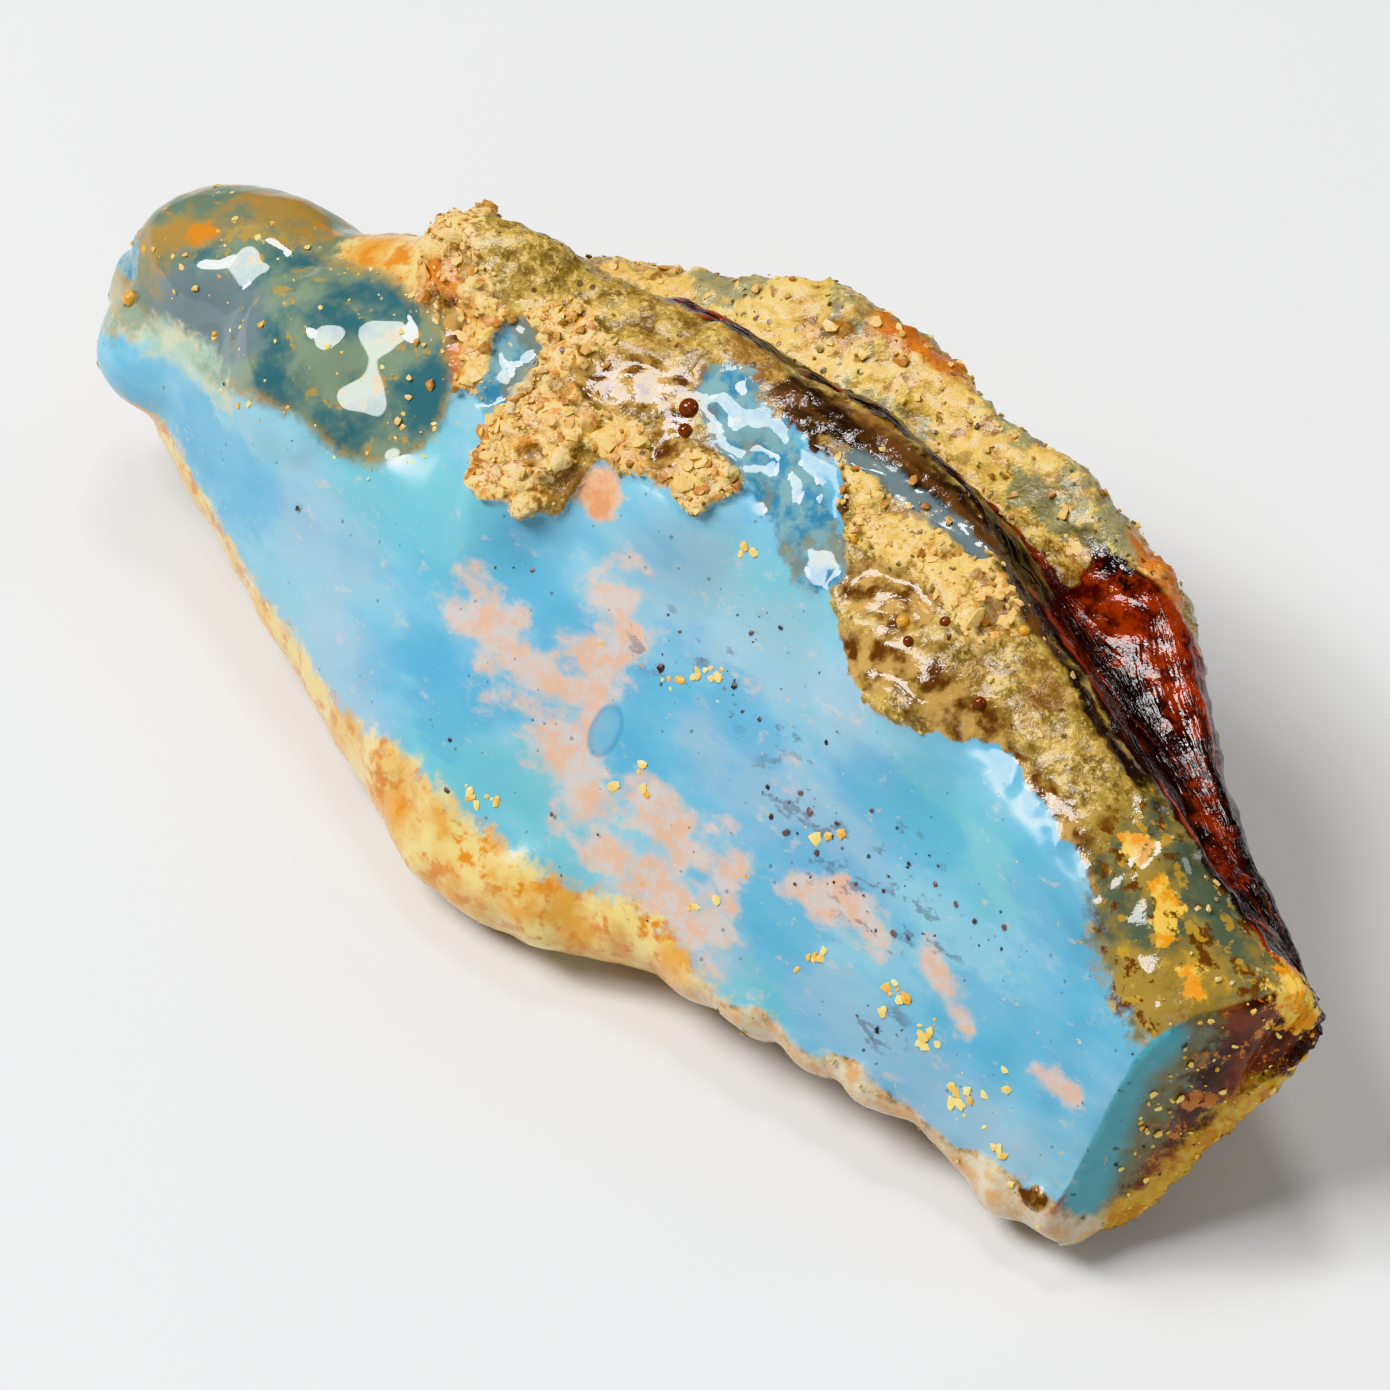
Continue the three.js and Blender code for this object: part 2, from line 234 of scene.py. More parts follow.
EMBERS = [
    ([(0.3, 9.3, 15.6), (2.6, 9.4, 15.2), (4, 9.4, 14.8)], 0.55),
    ([(12.6, 7.6, 13.6), (15, 6.4, 13.4)], 0.7),
    ([(-23.6, 0.7, 12.6), (-22, 0.4, 12.8), (-20.9, 1.2, 13.1)], 0.5),
    ([(-13.2, 1.8, 15.8), (-11.9, 0.4, 15), (-11.3, -1.2, 13.8)], 0.7),
    ([(2.1, -10.9, 4), (3.9, -10.9, 3.8)], 0.35),
]
DUSKS = [
    ([(-22.8, -1.3, 10.9), (-21.2, -1.3, 11.3), (-20, -1.4, 11.9)], 1.7),
    ([(4, 2.3, 17.3), (4.8, 2.4, 17.3), (7, 2.2, 16.9), (9.6, 1.8, 16.4)], 0.4),
]
DARK_RIDGES = [
    (
        [
            (0.5, 3.3, 17.4), (3, 3.2, 17.4), (5.5, 3.1, 17.2), (8.1, 2.8, 16.8), (11, 2.2, 16.2),
            (12.8, 1.2, 15.6),
        ],
        0.6,
    ),
    ([(1.2, 2.6, 17.2), (3.2, 1.7, 16.9), (4.5, 0.7, 16.4)], 0.45),
    ([(13, 0.9, 15.6), (17, -1, 14.4), (20, -2.2, 13.5)], 0.35),
]
CORNER_GOLDS = [
    ([(21.4, -4.4, 12.9), (21.9, -4.5, 12.7)], 0.45),
    ([(22, -5.2, 12.2), (22.3, -5.4, 12)], 0.45),
    ([(19.6, -3.6, 13.5), (20.2, -3.8, 13.4)], 0.35),
    ([(26.5, -3.8, 10.8), (26.9, -3.9, 9.9)], 0.8),
    ([(23.7, -5.9, 11.5), (24, -6.2, 11.2)], 0.4),
]
END_TEAL = [([(23.8, -7.6, 10.2), (23.3, -8.7, 9), (23.1, -9.5, 6.4), (22.8, -10.4, 3)], 0.8)]
END_OLIVE = [([(24.3, -7.2, 10.2), (23.9, -8, 8.4), (23.7, -8.8, 5.6), (23.1, -10, 2.8)], 1.05)]
END_GOLD = [([(26.4, -5.2, 6.2), (25.4, -7, 4), (24.4, -8.6, 2), (23.4, -10, 1.6)], 1.1)]

# How much of the rind's roughness each region takes away
SMOOTHED = {
    "window": 1, "glass": 1, "tip": 0.8, "gap": 1, "corner": 0.8, "valley": 1, "end": 0.85, "brown": 0.85,
    "dusk": 0.9, "smooth gold": 0.9, "cream": 0.8,
}

# ---- Colours that vary between a first and a second, each from 0 to 255 as it looks on a screen ----

COLOURS = {
    "rind": ((114, 88, 36), (190, 158, 80)),
    "rust": ((104, 62, 30), (186, 130, 66)),
    "crust": ((198, 138, 68), (255, 224, 144)),
    "pale crust": ((204, 166, 104), (252, 228, 156)),
    "sand": ((210, 168, 82), (242, 210, 116)),
    "ember": ((150, 62, 18), (240, 148, 52)),
    "brown": ((100, 60, 28), (206, 166, 98)),
    "ridge": ((36, 24, 18), (104, 70, 42)),
    "peach": ((240, 190, 152), (222, 206, 196)),
    "peach spot": ((234, 164, 116), (246, 196, 150)),
    "pale band": ((170, 196, 176), (206, 202, 164)),
    "smooth gold": ((240, 176, 78), (252, 228, 146)),
    "nodule": ((80, 132, 142), (160, 182, 152)),
    "tip": ((126, 148, 124), (190, 156, 88)),
    "gap": ((78, 148, 182), (142, 184, 190)),
    "corner": ((106, 118, 96), (186, 156, 82)),
    "torn": ((24, 12, 10), (62, 34, 26)),
    "fire": ((78, 12, 4), (188, 60, 10)),
    "broken": ((62, 23, 7), (146, 62, 14)),
    "olive": ((134, 146, 112), (142, 122, 74)),
    "foot": ((238, 158, 26), (255, 206, 70)),
    "cream": ((226, 176, 118), (220, 212, 186)),
    "corner gold": ((236, 152, 28), (250, 208, 92)),
    "cloud": ((110, 160, 158), (206, 206, 160)),
    "crust plates": ((186, 124, 58), (254, 224, 142)),
    "crust crumbs": ((164, 104, 46), (250, 216, 134)),
    "crest crumbs": ((84, 58, 32), (222, 196, 128)),
    "gold flecks": ((232, 168, 52), (254, 232, 140)),
    "dark specks": ((52, 38, 44), (118, 92, 84)),
}
# The fields that the amber reads, in the threes in which they are also kept as vectors
FIELD_THREES = (
    ("window", "glass", "tip"),
    ("gap", "valley", "end"),
    ("teal end", "ember", "dusk"),
    ("corner", "olive end", "gold end"),
    ("gold", "smooth gold", "sand"),
    ("grey", "corner gold", "brown"),
    ("red", "cream", "pale band"),
    ("ridge", "peach spot", "blue spot"),
    ("peach", "teal", "deep"),
    ("haze", "specks", "rise"),
)
FINEST_GRAIN = 0.05  # noise is never finer than this
FOLD_ALONG, FOLD_ACROSS = 0.14, 3.2  # how fast the torn side's folds change along the stone and around it
AMBER_IOR = 1.54
AMBER_DEPTH = (0.95, 0.62, 0.3)  # the tint that light takes on in the clear amber

# Beads: each kind's spots as (x, y, z, radius), its colour and its clearness
BEADS = {
    "red_beads": (
        [
            (-2.4, 1.4, 16.5, 0.36), (-2.1, 0.7, 16.2, 0.26), (9.4, -2, 15.3, 0.2), (10.2, -1, 15.6, 0.22),
            (12.6, -2.4, 14.7, 0.24),
        ],
        (136, 60, 26),
        0.35,
    ),
    "gold_beads": (
        [
            (-25.7, -0.9, 9.3, 0.3), (-21.4, -1.6, 10.8, 0.12), (8.8, -1.6, 15.6, 0.24),
            (5.6, 0.1, 16.2, 0.16), (12.6, 0.4, 16, 0.2),
        ],
        (242, 178, 74),
        0.2,
    ),
}
BEAD_WEAR = 0.75  # how dark a bead's worn spots are


# ---- Small helpers for places and fields ----


def smooth(value, low, high):
    """0 below low, 1 above high and a smooth rise between them."""
    share = np.clip((value - low) / (high - low), 0, 1)
    return share * share * (3 - 2 * share)


def path_distance(points, path):
    """How far each point is from a path of straight stretches."""
    path = np.asarray(path, float)
    nearest = np.full(len(points), np.inf)
    for start, end in zip(path[:-1], path[1:]):
        along = end - start
        share = np.clip((points - start) @ along / (along @ along), 0, 1)
        nearest = np.minimum(nearest, np.linalg.norm(points - start - share[:, None] * along, axis=1))
    return nearest


def near_paths(points, regions):
    """1 on the paths of the regions, a half at their reach and 0 well past it."""
    field = np.zeros(len(points))
    for path, reach in regions:
        field = np.maximum(field, 1 - 0.5 * path_distance(points, path) / reach)
    return np.clip(field, 0, 1)


def lumpy(points, size, shift=0.0):
    """Noise from about -1 to 1, with lumps about size across."""
    return np.array([noise.noise(p) for p in (points / size + shift).tolist()])


def folds(x, girth, along, across, shift):
    """Noise that is drawn out along the stone, as folds."""
    return lumpy(np.stack([x * along, girth * across, x * 0], axis=1), 1.0, shift)


def on_window(points):
    """Each point's (x, up) in the window's plane."""
    up = points[:, 1] * math.cos(WINDOW_LEAN) + points[:, 2] * math.sin(WINDOW_LEAN)
    return np.stack([points[:, 0], up], axis=1)


def girth_of(points):
    """How far round the stone each point is: TOE is 0, BROW is 1 and so on, and BELLY to TOE is 8 to 9."""
    rails = np.array([[np.interp(points[:, 0], STATIONS, line) for line in edge] for edge in EDGES.values()])
    centre = rails.mean(axis=0)
    angles = np.arctan2(rails[:, 1] - centre[1], rails[:, 0] - centre[0])
    angle = np.arctan2(points[:, 2] - centre[1], points[:, 1] - centre[0])
    turn = 2 * math.pi
    from_toe = (angles[0] - angle) % turn
    knots = np.vstack([(angles[0] - angles) % turn, np.full(len(points), turn)])
    girth = np.zeros(len(points))
    for k in range(len(rails)):
        inside = (from_toe >= knots[k]) & (from_toe < knots[k + 1])
        share = (from_toe - knots[k]) / np.maximum(knots[k + 1] - knots[k], 1e-6)
        girth = np.where(inside, k + share, girth)
    return girth


def linear(red, green, blue):
    """A colour given from 0 to 255 as it looks on a screen, as Blender's linear values."""
    values = [c / 255 for c in (red, green, blue)]
    return tuple(c / 12.92 if c <= 0.04045 else ((c + 0.055) / 1.055) ** 2.4 for c in values)


# ---- Materials ----


class Shades:
    """A new material's nodes: a Principled shader on the output, and a short name for each kind it uses.

    A colour given as a tuple is from 0 to 255, and sizes are millimetres.
    """

    def __init__(self, name):
        self.material = bpy.data.materials.new(name)
        self.material.use_nodes = True
        self.tree = self.material.node_tree
        self.tree.nodes.clear()
        self.shader = self.tree.nodes.new("ShaderNodeBsdfPrincipled")
        self.output = self.tree.nodes.new("ShaderNodeOutputMaterial")
        self.tree.links.new(self.shader.outputs["BSDF"], self.output.inputs["Surface"])
        metres = self.tree.nodes.new("ShaderNodeTexCoord").outputs["Object"]
        self.place = self.node("Mapping", {"Vector": metres, "Scale": (1000, 1000, 1000)}).outputs[0]

    def give(self, socket, value):
        """Link a node's output to the socket, or set a plain value on it."""
        if isinstance(value, bpy.types.NodeSocket):
            self.tree.links.new(value, socket)
        elif socket.type == "RGBA" and len(value) == 3:
            socket.default_value = (*value, 1)
        else:
            socket.default_value = value

    def node(self, kind, inputs, **settings):
        made = self.tree.nodes.new("ShaderNode" + kind)
        for name, value in settings.items():
            setattr(made, name, value)
        for name, value in inputs.items():
            self.give(made.inputs[name], value)
        return made

    def feed(self, **values):
        """Values for the shader's own sockets."""
        for name, value in values.items():
            self.give(self.shader.inputs[name.replace("_", " ")], value)

    def calc(self, operation, first, second):
        return self.node("Math", {0: first, 1: second}, operation=operation).outputs[0]

    def both(self, first, second):
        return self.calc("MULTIPLY", first, second)

    def step(self, value, low, high, start=0.0, end=1.0):
        """From start to end, smoothly, as value goes from low to high."""
        inputs = {"Value": value, "From Min": low, "From Max": high, "To Min": start, "To Max": end}
        return self.node("MapRange", inputs, interpolation_type="SMOOTHSTEP").outputs[0]

    def mixed(self, share, under, over):
        """The colour over laid on the colour under by share."""
        under, over = (linear(*c) if isinstance(c, tuple) else c for c in (under, over))
        return self.node("Mix", {0: share, 6: under, 7: over}, data_type="RGBA").outputs[2]

    def faded(self, share, under, over):
        """The number over in place of the number under by share."""
        return self.node("Mix", {0: share, 2: under, 3: over}).outputs[0]

    def tint(self, name, pattern, low, high):
        """From the first to the second of the colours called name, as the pattern goes from low to high."""
        return self.mixed(self.step(pattern, low, high), *COLOURS[name])

    def stretched(self, along):
        """Places scaled so that a pattern on them is drawn out along the stone."""
        return self.node("Mapping", {"Vector": self.place, "Scale": (along, 1, 1)}).outputs[0]

    def grain(self, size, detail, roughness=0.55, place=None):
        """Noise from 0 to 1 with lumps about size across."""
        detail = min(detail, round(math.log2(size / FINEST_GRAIN)))
        inputs = {"Vector": place or self.place, "Scale": 1 / size, "Detail": detail, "Roughness": roughness}
        return self.node("TexNoise", inputs).outputs["Fac"]

    def swing(self, *grain):
        """The same noise from -0.5 to 0.5."""
        return self.calc("SUBTRACT", self.grain(*grain), 0.5)

    def cells(self, size):
        """How far each place is from the middle of its cell, with cells about size across."""
        return self.node("TexVoronoi", {"Vector": self.place, "Scale": 1 / size}).outputs["Distance"]

    def field(self, name):
        """A field that is kept by itself, or out of the vector in which three are kept together."""
        for three in FIELD_THREES:
            if name in three:
                vector = self.node("Attribute", {}, attribute_name=", ".join(three)).outputs["Vector"]
                return self.node("SeparateXYZ", {"Vector": vector}).outputs[three.index(name)]
        return self.node("Attribute", {}, attribute_name=name).outputs["Fac"]


class Skin(Shades):
    """The stone's material in the making: the patterns that its regions share, and the look that is laid on so far."""

    def __init__(self, name):
        super().__init__(name)
        self.look = {}
        self.ragged = self.swing(0.5, 5.0, 0.65)
        self.mottle = self.grain(0.9, 6.0, 0.68)
        self.fine = self.grain(0.25, 5.0, 0.7)
        self.broad = self.grain(2.6, 4.0, 0.6)
        self.lumps = self.grain(0.7, 4.0)
        self.depths = self.grain(2.4, 4.0, 0.58)
        self.dotted = self.cells(0.62)
        self.drawn_out = self.grain(1.0, 6.0, 0.62, self.stretched(0.5))
        along = self.node("SeparateXYZ", {"Vector": self.place}).outputs[0]
        turns = {"X": self.both(along, FOLD_ALONG), "Y": self.both(self.field("round"), FOLD_ACROSS)}
        self.round_place = self.node("CombineXYZ", turns).outputs[0]
        self.streaks = self.grain(0.55, 6.0, 0.62, self.round_place)

    def edge(self, name, raggedness=0.5, width=0.08, middle=0.5, by=None):
        """1 inside the region called name and 0 outside it, with a ragged edge."""
        reach = self.calc("ADD", self.field(name), self.both(by or self.ragged, raggedness))
        return self.step(reach, middle - width, middle + width)

    def lay(self, share, colour, *finish):
        """Lay a colour and up to four finishes (gloss, clear, wet, coarse) over what is there, by share."""
        self.look["colour"] = self.mixed(share, self.look["colour"], colour)
        for key, value in zip(("gloss", "clear", "wet", "coarse"), finish):
            if value is not None:
                self.look[key] = self.faded(share, self.look[key], value)


def lay_rind(skin):
    """The rind along the crest: olive and tan, with rust, crusts, sand and brown dots, with painted shade in its pits
    and low places and painted highlights on its high places.
    """
    mottle, fine, broad, both, step = skin.mottle, skin.fine, skin.broad, skin.both, skin.step
    colour = skin.tint("rind", mottle, 0.36, 0.64)
    # Light golden specks where the fine noise is high: partly gold flecks on the rind, partly painted fine glints.
    colour = skin.mixed(both(step(fine, 0.5, 0.66), 0.65), colour, (230, 198, 112))
    rusty = step(skin.grain(5.0, 3.0, 0.6), 0.5, 0.64)
    colour = skin.mixed(both(rusty, 0.6), colour, skin.mixed(mottle, *COLOURS["rust"]))
    skin.look.update(colour=colour, gloss=step(fine, 0.35, 0.65, 0.22, 0.5), clear=0.0, wet=0.2, coarse=1.0)
    crust = skin.tint("crust", fine, 0.36, 0.54)
    crust = skin.mixed(step(broad, 0.45, 0.6), crust, skin.mixed(fine, *COLOURS["pale crust"]))
    crust = skin.mixed(both(step(mottle, 0.53, 0.62), 0.8), crust, (236, 156, 56))
    skin.lay(skin.edge("gold", 0.7), crust, None, None, 0.15)
    sand = skin.mixed(step(broad, 0.52, 0.66), skin.tint("sand", mottle, 0.35, 0.6), (190, 136, 66))
    skin.lay(both(skin.edge("sand", 1.4, 0.16), 0.9), sand)
    # Painted shade: brown in the crust's pits, where the lump noise is high.
    painted_pit_shade = step(skin.lumps, 0.55, 0.66)
    skin.lay(both(both(skin.edge("gold", 1.4, 0.1, 0.62), painted_pit_shade), 0.8), (138, 82, 38))
    # Painted shade on the places that were pushed out least, and a painted highlight on those pushed out most.
    skin.lay(step(skin.field("rise"), 0.46, 0.24, 0.0, 0.62), (104, 64, 32))
    skin.lay(step(skin.field("rise"), 0.62, 0.8, 0.0, 0.5), (246, 218, 150))
    skin.lay(both(skin.edge("grey", 1.4, 0.15), 0.8), (126, 130, 100))
    skin.lay(skin.edge("ember", 1.5, 0.2), skin.mixed(mottle, *COLOURS["ember"]), None, None, 0.3)
    dots = both(step(skin.dotted, 0.27, 0.17), step(mottle, 0.5, 0.56))
    skin.lay(both(dots, 0.85), (66, 38, 20))
    browns = skin.tint("brown", skin.lumps, 0.38, 0.62)
    pockets = skin.edge("brown", 1.2, 0.2, 0.46)
    skin.lay(pockets, browns, 0.09, 0.2, 0.15, 0.3)
    ridge = skin.tint("ridge", skin.streaks, 0.4, 0.62)
    skin.lay(skin.edge("ridge", 1.1, 0.2, 0.42), ridge, 0.16, None, 0.1, 0.6)


def lay_window(skin, blue):
    """The milky window: its waters, its peach clouds, its smudges and specks, and its two spots."""
    both, step, mixed, edge = skin.both, skin.step, skin.mixed, skin.edge
    drifting = skin.calc("SUBTRACT", skin.drawn_out, 0.5)
    clouding = skin.swing(1.2, 7.0, 0.6, skin.stretched(0.75))
    milk = mixed(step(skin.grain(4.0, 4.0, 0.62, skin.stretched(0.4)), 0.36, 0.64), blue, (150, 205, 222))
    milk = mixed(both(edge("teal", 1.2, 0.32, by=drifting), 0.7), milk, (122, 198, 206))
    milk = mixed(both(edge("haze", 1.2, 0.35, by=drifting), 0.5), milk, (176, 194, 210))
    milk = mixed(both(edge("deep", 1.5, 0.2, 0.54, drifting), 0.55), milk, (98, 176, 212))
    milk = mixed(both(edge("peach", 1.9, 0.32, 0.48, clouding), 0.5), milk, (188, 202, 210))
    peach = skin.tint("peach", skin.mottle, 0.4, 0.6)
    milk = mixed(both(edge("peach", 2.6, 0.28, 0.6, clouding), 0.85), milk, peach)
    feathers = skin.grain(0.75, 6.0, 0.65, skin.stretched(0.6))
    milk = mixed(both(step(feathers, 0.6, 0.7), 0.45), milk, (220, 206, 186))
    smudges = step(feathers, 0.43, 0.36)
    milk = mixed(both(both(smudges, 0.55), edge("specks", 0.4, 0.2)), milk, (104, 104, 120))
    pins = skin.calc("LESS_THAN", skin.dotted, step(skin.mottle, 0.42, 0.64, 0.02, 0.14))
    pins = both(pins, step(skin.field("specks"), 0.15, 0.6, 0.5, 1.0))
    milk = mixed(both(pins, 0.85), milk, (62, 50, 60))
    milk = mixed(edge("peach spot", 0.45, 0.12, 0.56), milk, skin.tint("peach spot", skin.mottle, 0.4, 0.6))
    milk = mixed(both(edge("blue spot", 0.06, 0.06), 0.7), milk, (88, 156, 190))
    milk = mixed(both(edge("blue spot", 0.1, 0.12, 0.62), 0.7), milk, (132, 192, 216))
    milk = mixed(0.12, milk, (30, 60, 80))
    skin.lay(edge("window", 0.45), milk, 0.2, 0.08, 0.0, 0.0)
    # Smooth gold: the amber's own gold, and on the belly and the toe also a painted glow of light through the thin
    # stone.
    golden = skin.tint("smooth gold", skin.broad, 0.4, 0.6)
    golden = mixed(step(skin.mottle, 0.5, 0.64), golden, (230, 148, 52))
    skin.lay(edge("smooth gold", 0.8, 0.2), golden, 0.26, 0.2, 0.2, 0.2)


def lay_clear_parts(skin):
    """The nodule, the tip, the blue gaps, the dusky patches and the glassy corner."""
    mottle, depths = skin.mottle, skin.depths
    both, step, mixed, edge = skin.both, skin.step, skin.mixed, skin.edge
    glass = skin.tint("nodule", depths, 0.36, 0.62)
    wisps = both(step(depths, 0.47, 0.5), step(depths, 0.56, 0.53))
    glass = mixed(both(both(wisps, step(mottle, 0.52, 0.58)), 0.8), glass, (222, 184, 96))
    nodule = edge("glass", 0.12, 0.05)
    brim = both(nodule, step(skin.field("glass"), 0.6, 0.5))
    glass = mixed(both(brim, step(mottle, 0.42, 0.56, 0.2, 0.9)), glass, (214, 178, 92))
    skin.lay(nodule, glass, 0.04, 0.45, 0.0, 0.0)
    tips = skin.tint("tip", depths, 0.4, 0.58)
    tips = mixed(step(skin.drawn_out, 0.54, 0.66), tips, (226, 150, 62))
    tips = mixed(edge("ember", 0.8, 0.15), tips, (238, 156, 60))
    beside = both(edge("tip", 0.4), skin.calc("SUBTRACT", 1.0, nodule))
    skin.lay(beside, tips, 0.08, 0.35, 0.0, 0.1)
    pools = skin.tint("gap", mottle, 0.36, 0.6)
    pools = mixed(both(step(depths, 0.52, 0.58), 0.6), pools, (150, 140, 104))
    skin.lay(edge("gap", 0.5), pools, 0.05, 0.25, 0.0, 0.0)
    skin.lay(edge("dusk", 0.7, 0.2), (108, 124, 126), 0.1, 0.0, 0.0, 0.0)
    skin.lay(both(edge("pale band", 0.8, 0.25), 0.8), skin.tint("pale band", mottle, 0.4, 0.6))
    corner = skin.tint("corner", depths, 0.4, 0.58)
    corner = mixed(step(mottle, 0.54, 0.6), corner, (118, 70, 34))
    corner = mixed(both(step(skin.lumps, 0.58, 0.63), 0.8), corner, (222, 176, 74))
    skin.lay(edge("corner", 0.8, 0.2), corner, 0.08, 0.3, 0.0, 0.1)


def lay_torn_side(skin):
    """The torn side behind the crest: dark and streaked, with a red glow."""
    torn = skin.tint("torn", skin.streaks, 0.4, 0.66)
    torn = skin.mixed(skin.both(skin.step(skin.streaks, 0.58, 0.63), 0.8), torn, (190, 60, 14))
    torn = skin.mixed(skin.edge("red", 1.4, 0.2), torn, skin.tint("fire", skin.mottle, 0.38, 0.62))
    skin.lay(skin.edge("valley", 0.45, 0.12), torn, 0.13, 0.35, 0.0, 0.4)


def lay_broken_end(skin):
    """The broken end: a blue skin, olive behind it, then brown and red, and gold at the foot."""
    mottle, mixed, edge = skin.mottle, skin.mixed, skin.edge
    broken = skin.tint("broken", skin.depths, 0.38, 0.6)
    broken = mixed(skin.step(mottle, 0.55, 0.61), broken, (232, 138, 40))
    broken = mixed(edge("olive end", 1.3, 0.25), broken, skin.tint("olive", mottle, 0.4, 0.6))
    broken = mixed(edge("gold end", 1.0, 0.2), broken, skin.tint("foot", mottle, 0.42, 0.56))
    broken = mixed(edge("teal end", 0.25, 0.3), broken, (102, 194, 208))
    burrs = skin.both(skin.step(skin.dotted, 0.32, 0.18), skin.step(mottle, 0.5, 0.6))
    broken = mixed(burrs, broken, (44, 22, 14))
    skin.lay(edge("end", 0.15, 0.25), broken, 0.14, 0.35, 0.0, 0.3)


def lay_rims(skin):
    """The cream rim of the toe and the golden patches of the corner."""
    creams = skin.tint("cream", skin.mottle, 0.36, 0.62)
    rim = skin.both(skin.edge("cream", 0.9, 0.22), 0.9)
    skin.lay(rim, creams, 0.24, 0.15, 0.1, 0.1)
    gold = skin.tint("corner gold", skin.mottle, 0.44, 0.58)
    skin.lay(skin.edge("corner gold", 2.2, 0.14), gold, 0.3, 0.0)


def amber_material(settings):
    """Milky blue amber with a rough rind: every region's colour, gloss and clearness in one material."""
    skin = Skin("blue amber")
    lay_rind(skin)
    lay_window(skin, settings.window_blue)
    lay_clear_parts(skin)
    lay_torn_side(skin)
    lay_broken_end(skin)
    lay_rims(skin)
    look = skin.look
    coarse = {"Strength": skin.both(look["coarse"], 0.8), "Distance": 0.1 * MM, "Height": skin.fine}
    coarse = skin.node("Bump", coarse).outputs[0]
    torn = {"Strength": skin.both(skin.edge("valley", 0.45, 0.12), 0.8), "Distance": 0.3 * MM, "Height": skin.streaks}
    bump = skin.node("Bump", torn | {"Normal": coarse}).outputs[0]
    skin.feed(Base_Color=look["colour"], Roughness=look["gloss"], Transmission_Weight=look["clear"], Normal=bump)
    skin.feed(Coat_Weight=look["wet"], Coat_Roughness=0.1, Coat_IOR=1.5, IOR=AMBER_IOR)
    depth = skin.node("VolumeAbsorption", {"Color": AMBER_DEPTH, "Density": settings.depth_tint})
    skin.tree.links.new(depth.outputs[0], skin.output.inputs["Volume"])
    return skin.material


def toned_material(name, roughness):
    """A material that goes between the two colours called name by each grain's tone."""
    shades = Shades(name)
    share = shades.calc("ADD", shades.field("tone"), shades.swing(0.2, 4.0))
    shades.feed(Base_Color=shades.mixed(share, *COLOURS[name]), Roughness=roughness, IOR=AMBER_IOR)
    return shades.material


# ---- Small helpers for objects ----


def pick_only(obj):
    """Leave object mode, and make obj the one object that is selected and active."""
    if bpy.context.object and bpy.context.object.mode != "OBJECT":
        bpy.ops.object.mode_set(mode="OBJECT")
    bpy.ops.object.select_all(action="DESELECT")
    obj.select_set(True)
    bpy.context.view_layer.objects.active = obj


def apply_modifier(obj, kind, name, **settings):
    pick_only(obj)
    modifier = obj.modifiers.new(name, kind)
    for key, value in settings.items():
        setattr(modifier, key, value)
    bpy.ops.object.modifier_apply(modifier=modifier.name)


def vectors_of(obj, what):
    vectors = np.empty(len(obj.data.vertices) * 3, np.float32)
    obj.data.vertices.foreach_get(what, vectors)
    return vectors.reshape(-1, 3).astype(float)


def places_of(obj):
    """The places of an object's vertices, in millimetres."""
    return vectors_of(obj, "co") / MM


def keep_field(obj, name, values):
    layer = obj.data.attributes.new(name, "FLOAT", "POINT")
    layer.data.foreach_set("value", np.asarray(values, np.float32))


def read_field(obj, name):
    values = np.empty(len(obj.data.vertices), np.float32)
    obj.data.attributes[name].data.foreach_get("value", values)
    return values.astype(float)


def keep_threes(obj):
    """Keep the fields of FIELD_THREES again as vectors, which are quicker to read than three numbers."""
    for three in FIELD_THREES:
        layer = obj.data.attributes.new(", ".join(three), "FLOAT_VECTOR", "POINT")
        vectors = np.stack([read_field(obj, name) for name in three], axis=1)
        layer.data.foreach_set("vector", vectors.astype(np.float32).ravel())


def keep_group(obj, name, weights):
    """A vertex group with the weights, in steps, so that each step is one call."""
    group = obj.vertex_groups.new(name=name)
    levels = np.round(np.clip(weights, 0, 1) * GROUP_LEVELS).astype(int)
    for level in range(1, GROUP_LEVELS + 1):
        chosen = np.flatnonzero(levels == level)
        if len(chosen):
            group.add(chosen.tolist(), level / GROUP_LEVELS, "REPLACE")


def relief_texture(name, kind, size, **settings):
    texture = bpy.data.textures.new(name, kind)
    texture.noise_scale = size * MM
    for key, value in settings.items():
        setattr(texture, key, value)
    return texture


# ---- The stone ----

GROUP_LEVELS = 40
MERGE_WITHIN = 0.02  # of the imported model's loose corners
# The valley runs from the crest to a share of the way past the valley's edge, wider towards the broken end
VALLEY_X = [-8, 6, 8, 11, 14, 17, 28]
VALLEY_REACH = [0.1, 0.2, 0.4, 0.65, 0.95, 1.2, 1.6]

# Reliefs: kind, size of the lumps and the noise's settings
RELIEFS = {
    "lumps": ("CLOUDS", 1.5, {"noise_depth": 3}),
    "pits": ("CLOUDS", 0.9, {"noise_basis": "VORONOI_F2_F1", "noise_depth": 1}),
    "plates": ("CLOUDS", 1.6, {"noise_basis": "VORONOI_F2_F1", "noise_depth": 1}),
    "flakes": ("MUSGRAVE", 1.1, {"musgrave_type": "RIDGED_MULTIFRACTAL", "octaves": 4, "noise_intensity": 1.0}),
    "grains": ("CLOUDS", 0.35, {"noise_depth": 2}),
    "ripples": ("CLOUDS", 2.8, {"noise_depth": 0}),
    "drops": ("CLOUDS", 1.2, {"noise_depth": 0}),
    "beads": ("CLOUDS", 0.9, {"noise_depth": 2}),
    "tears": ("CLOUDS", 1.1, {"noise_depth": 2}),
}
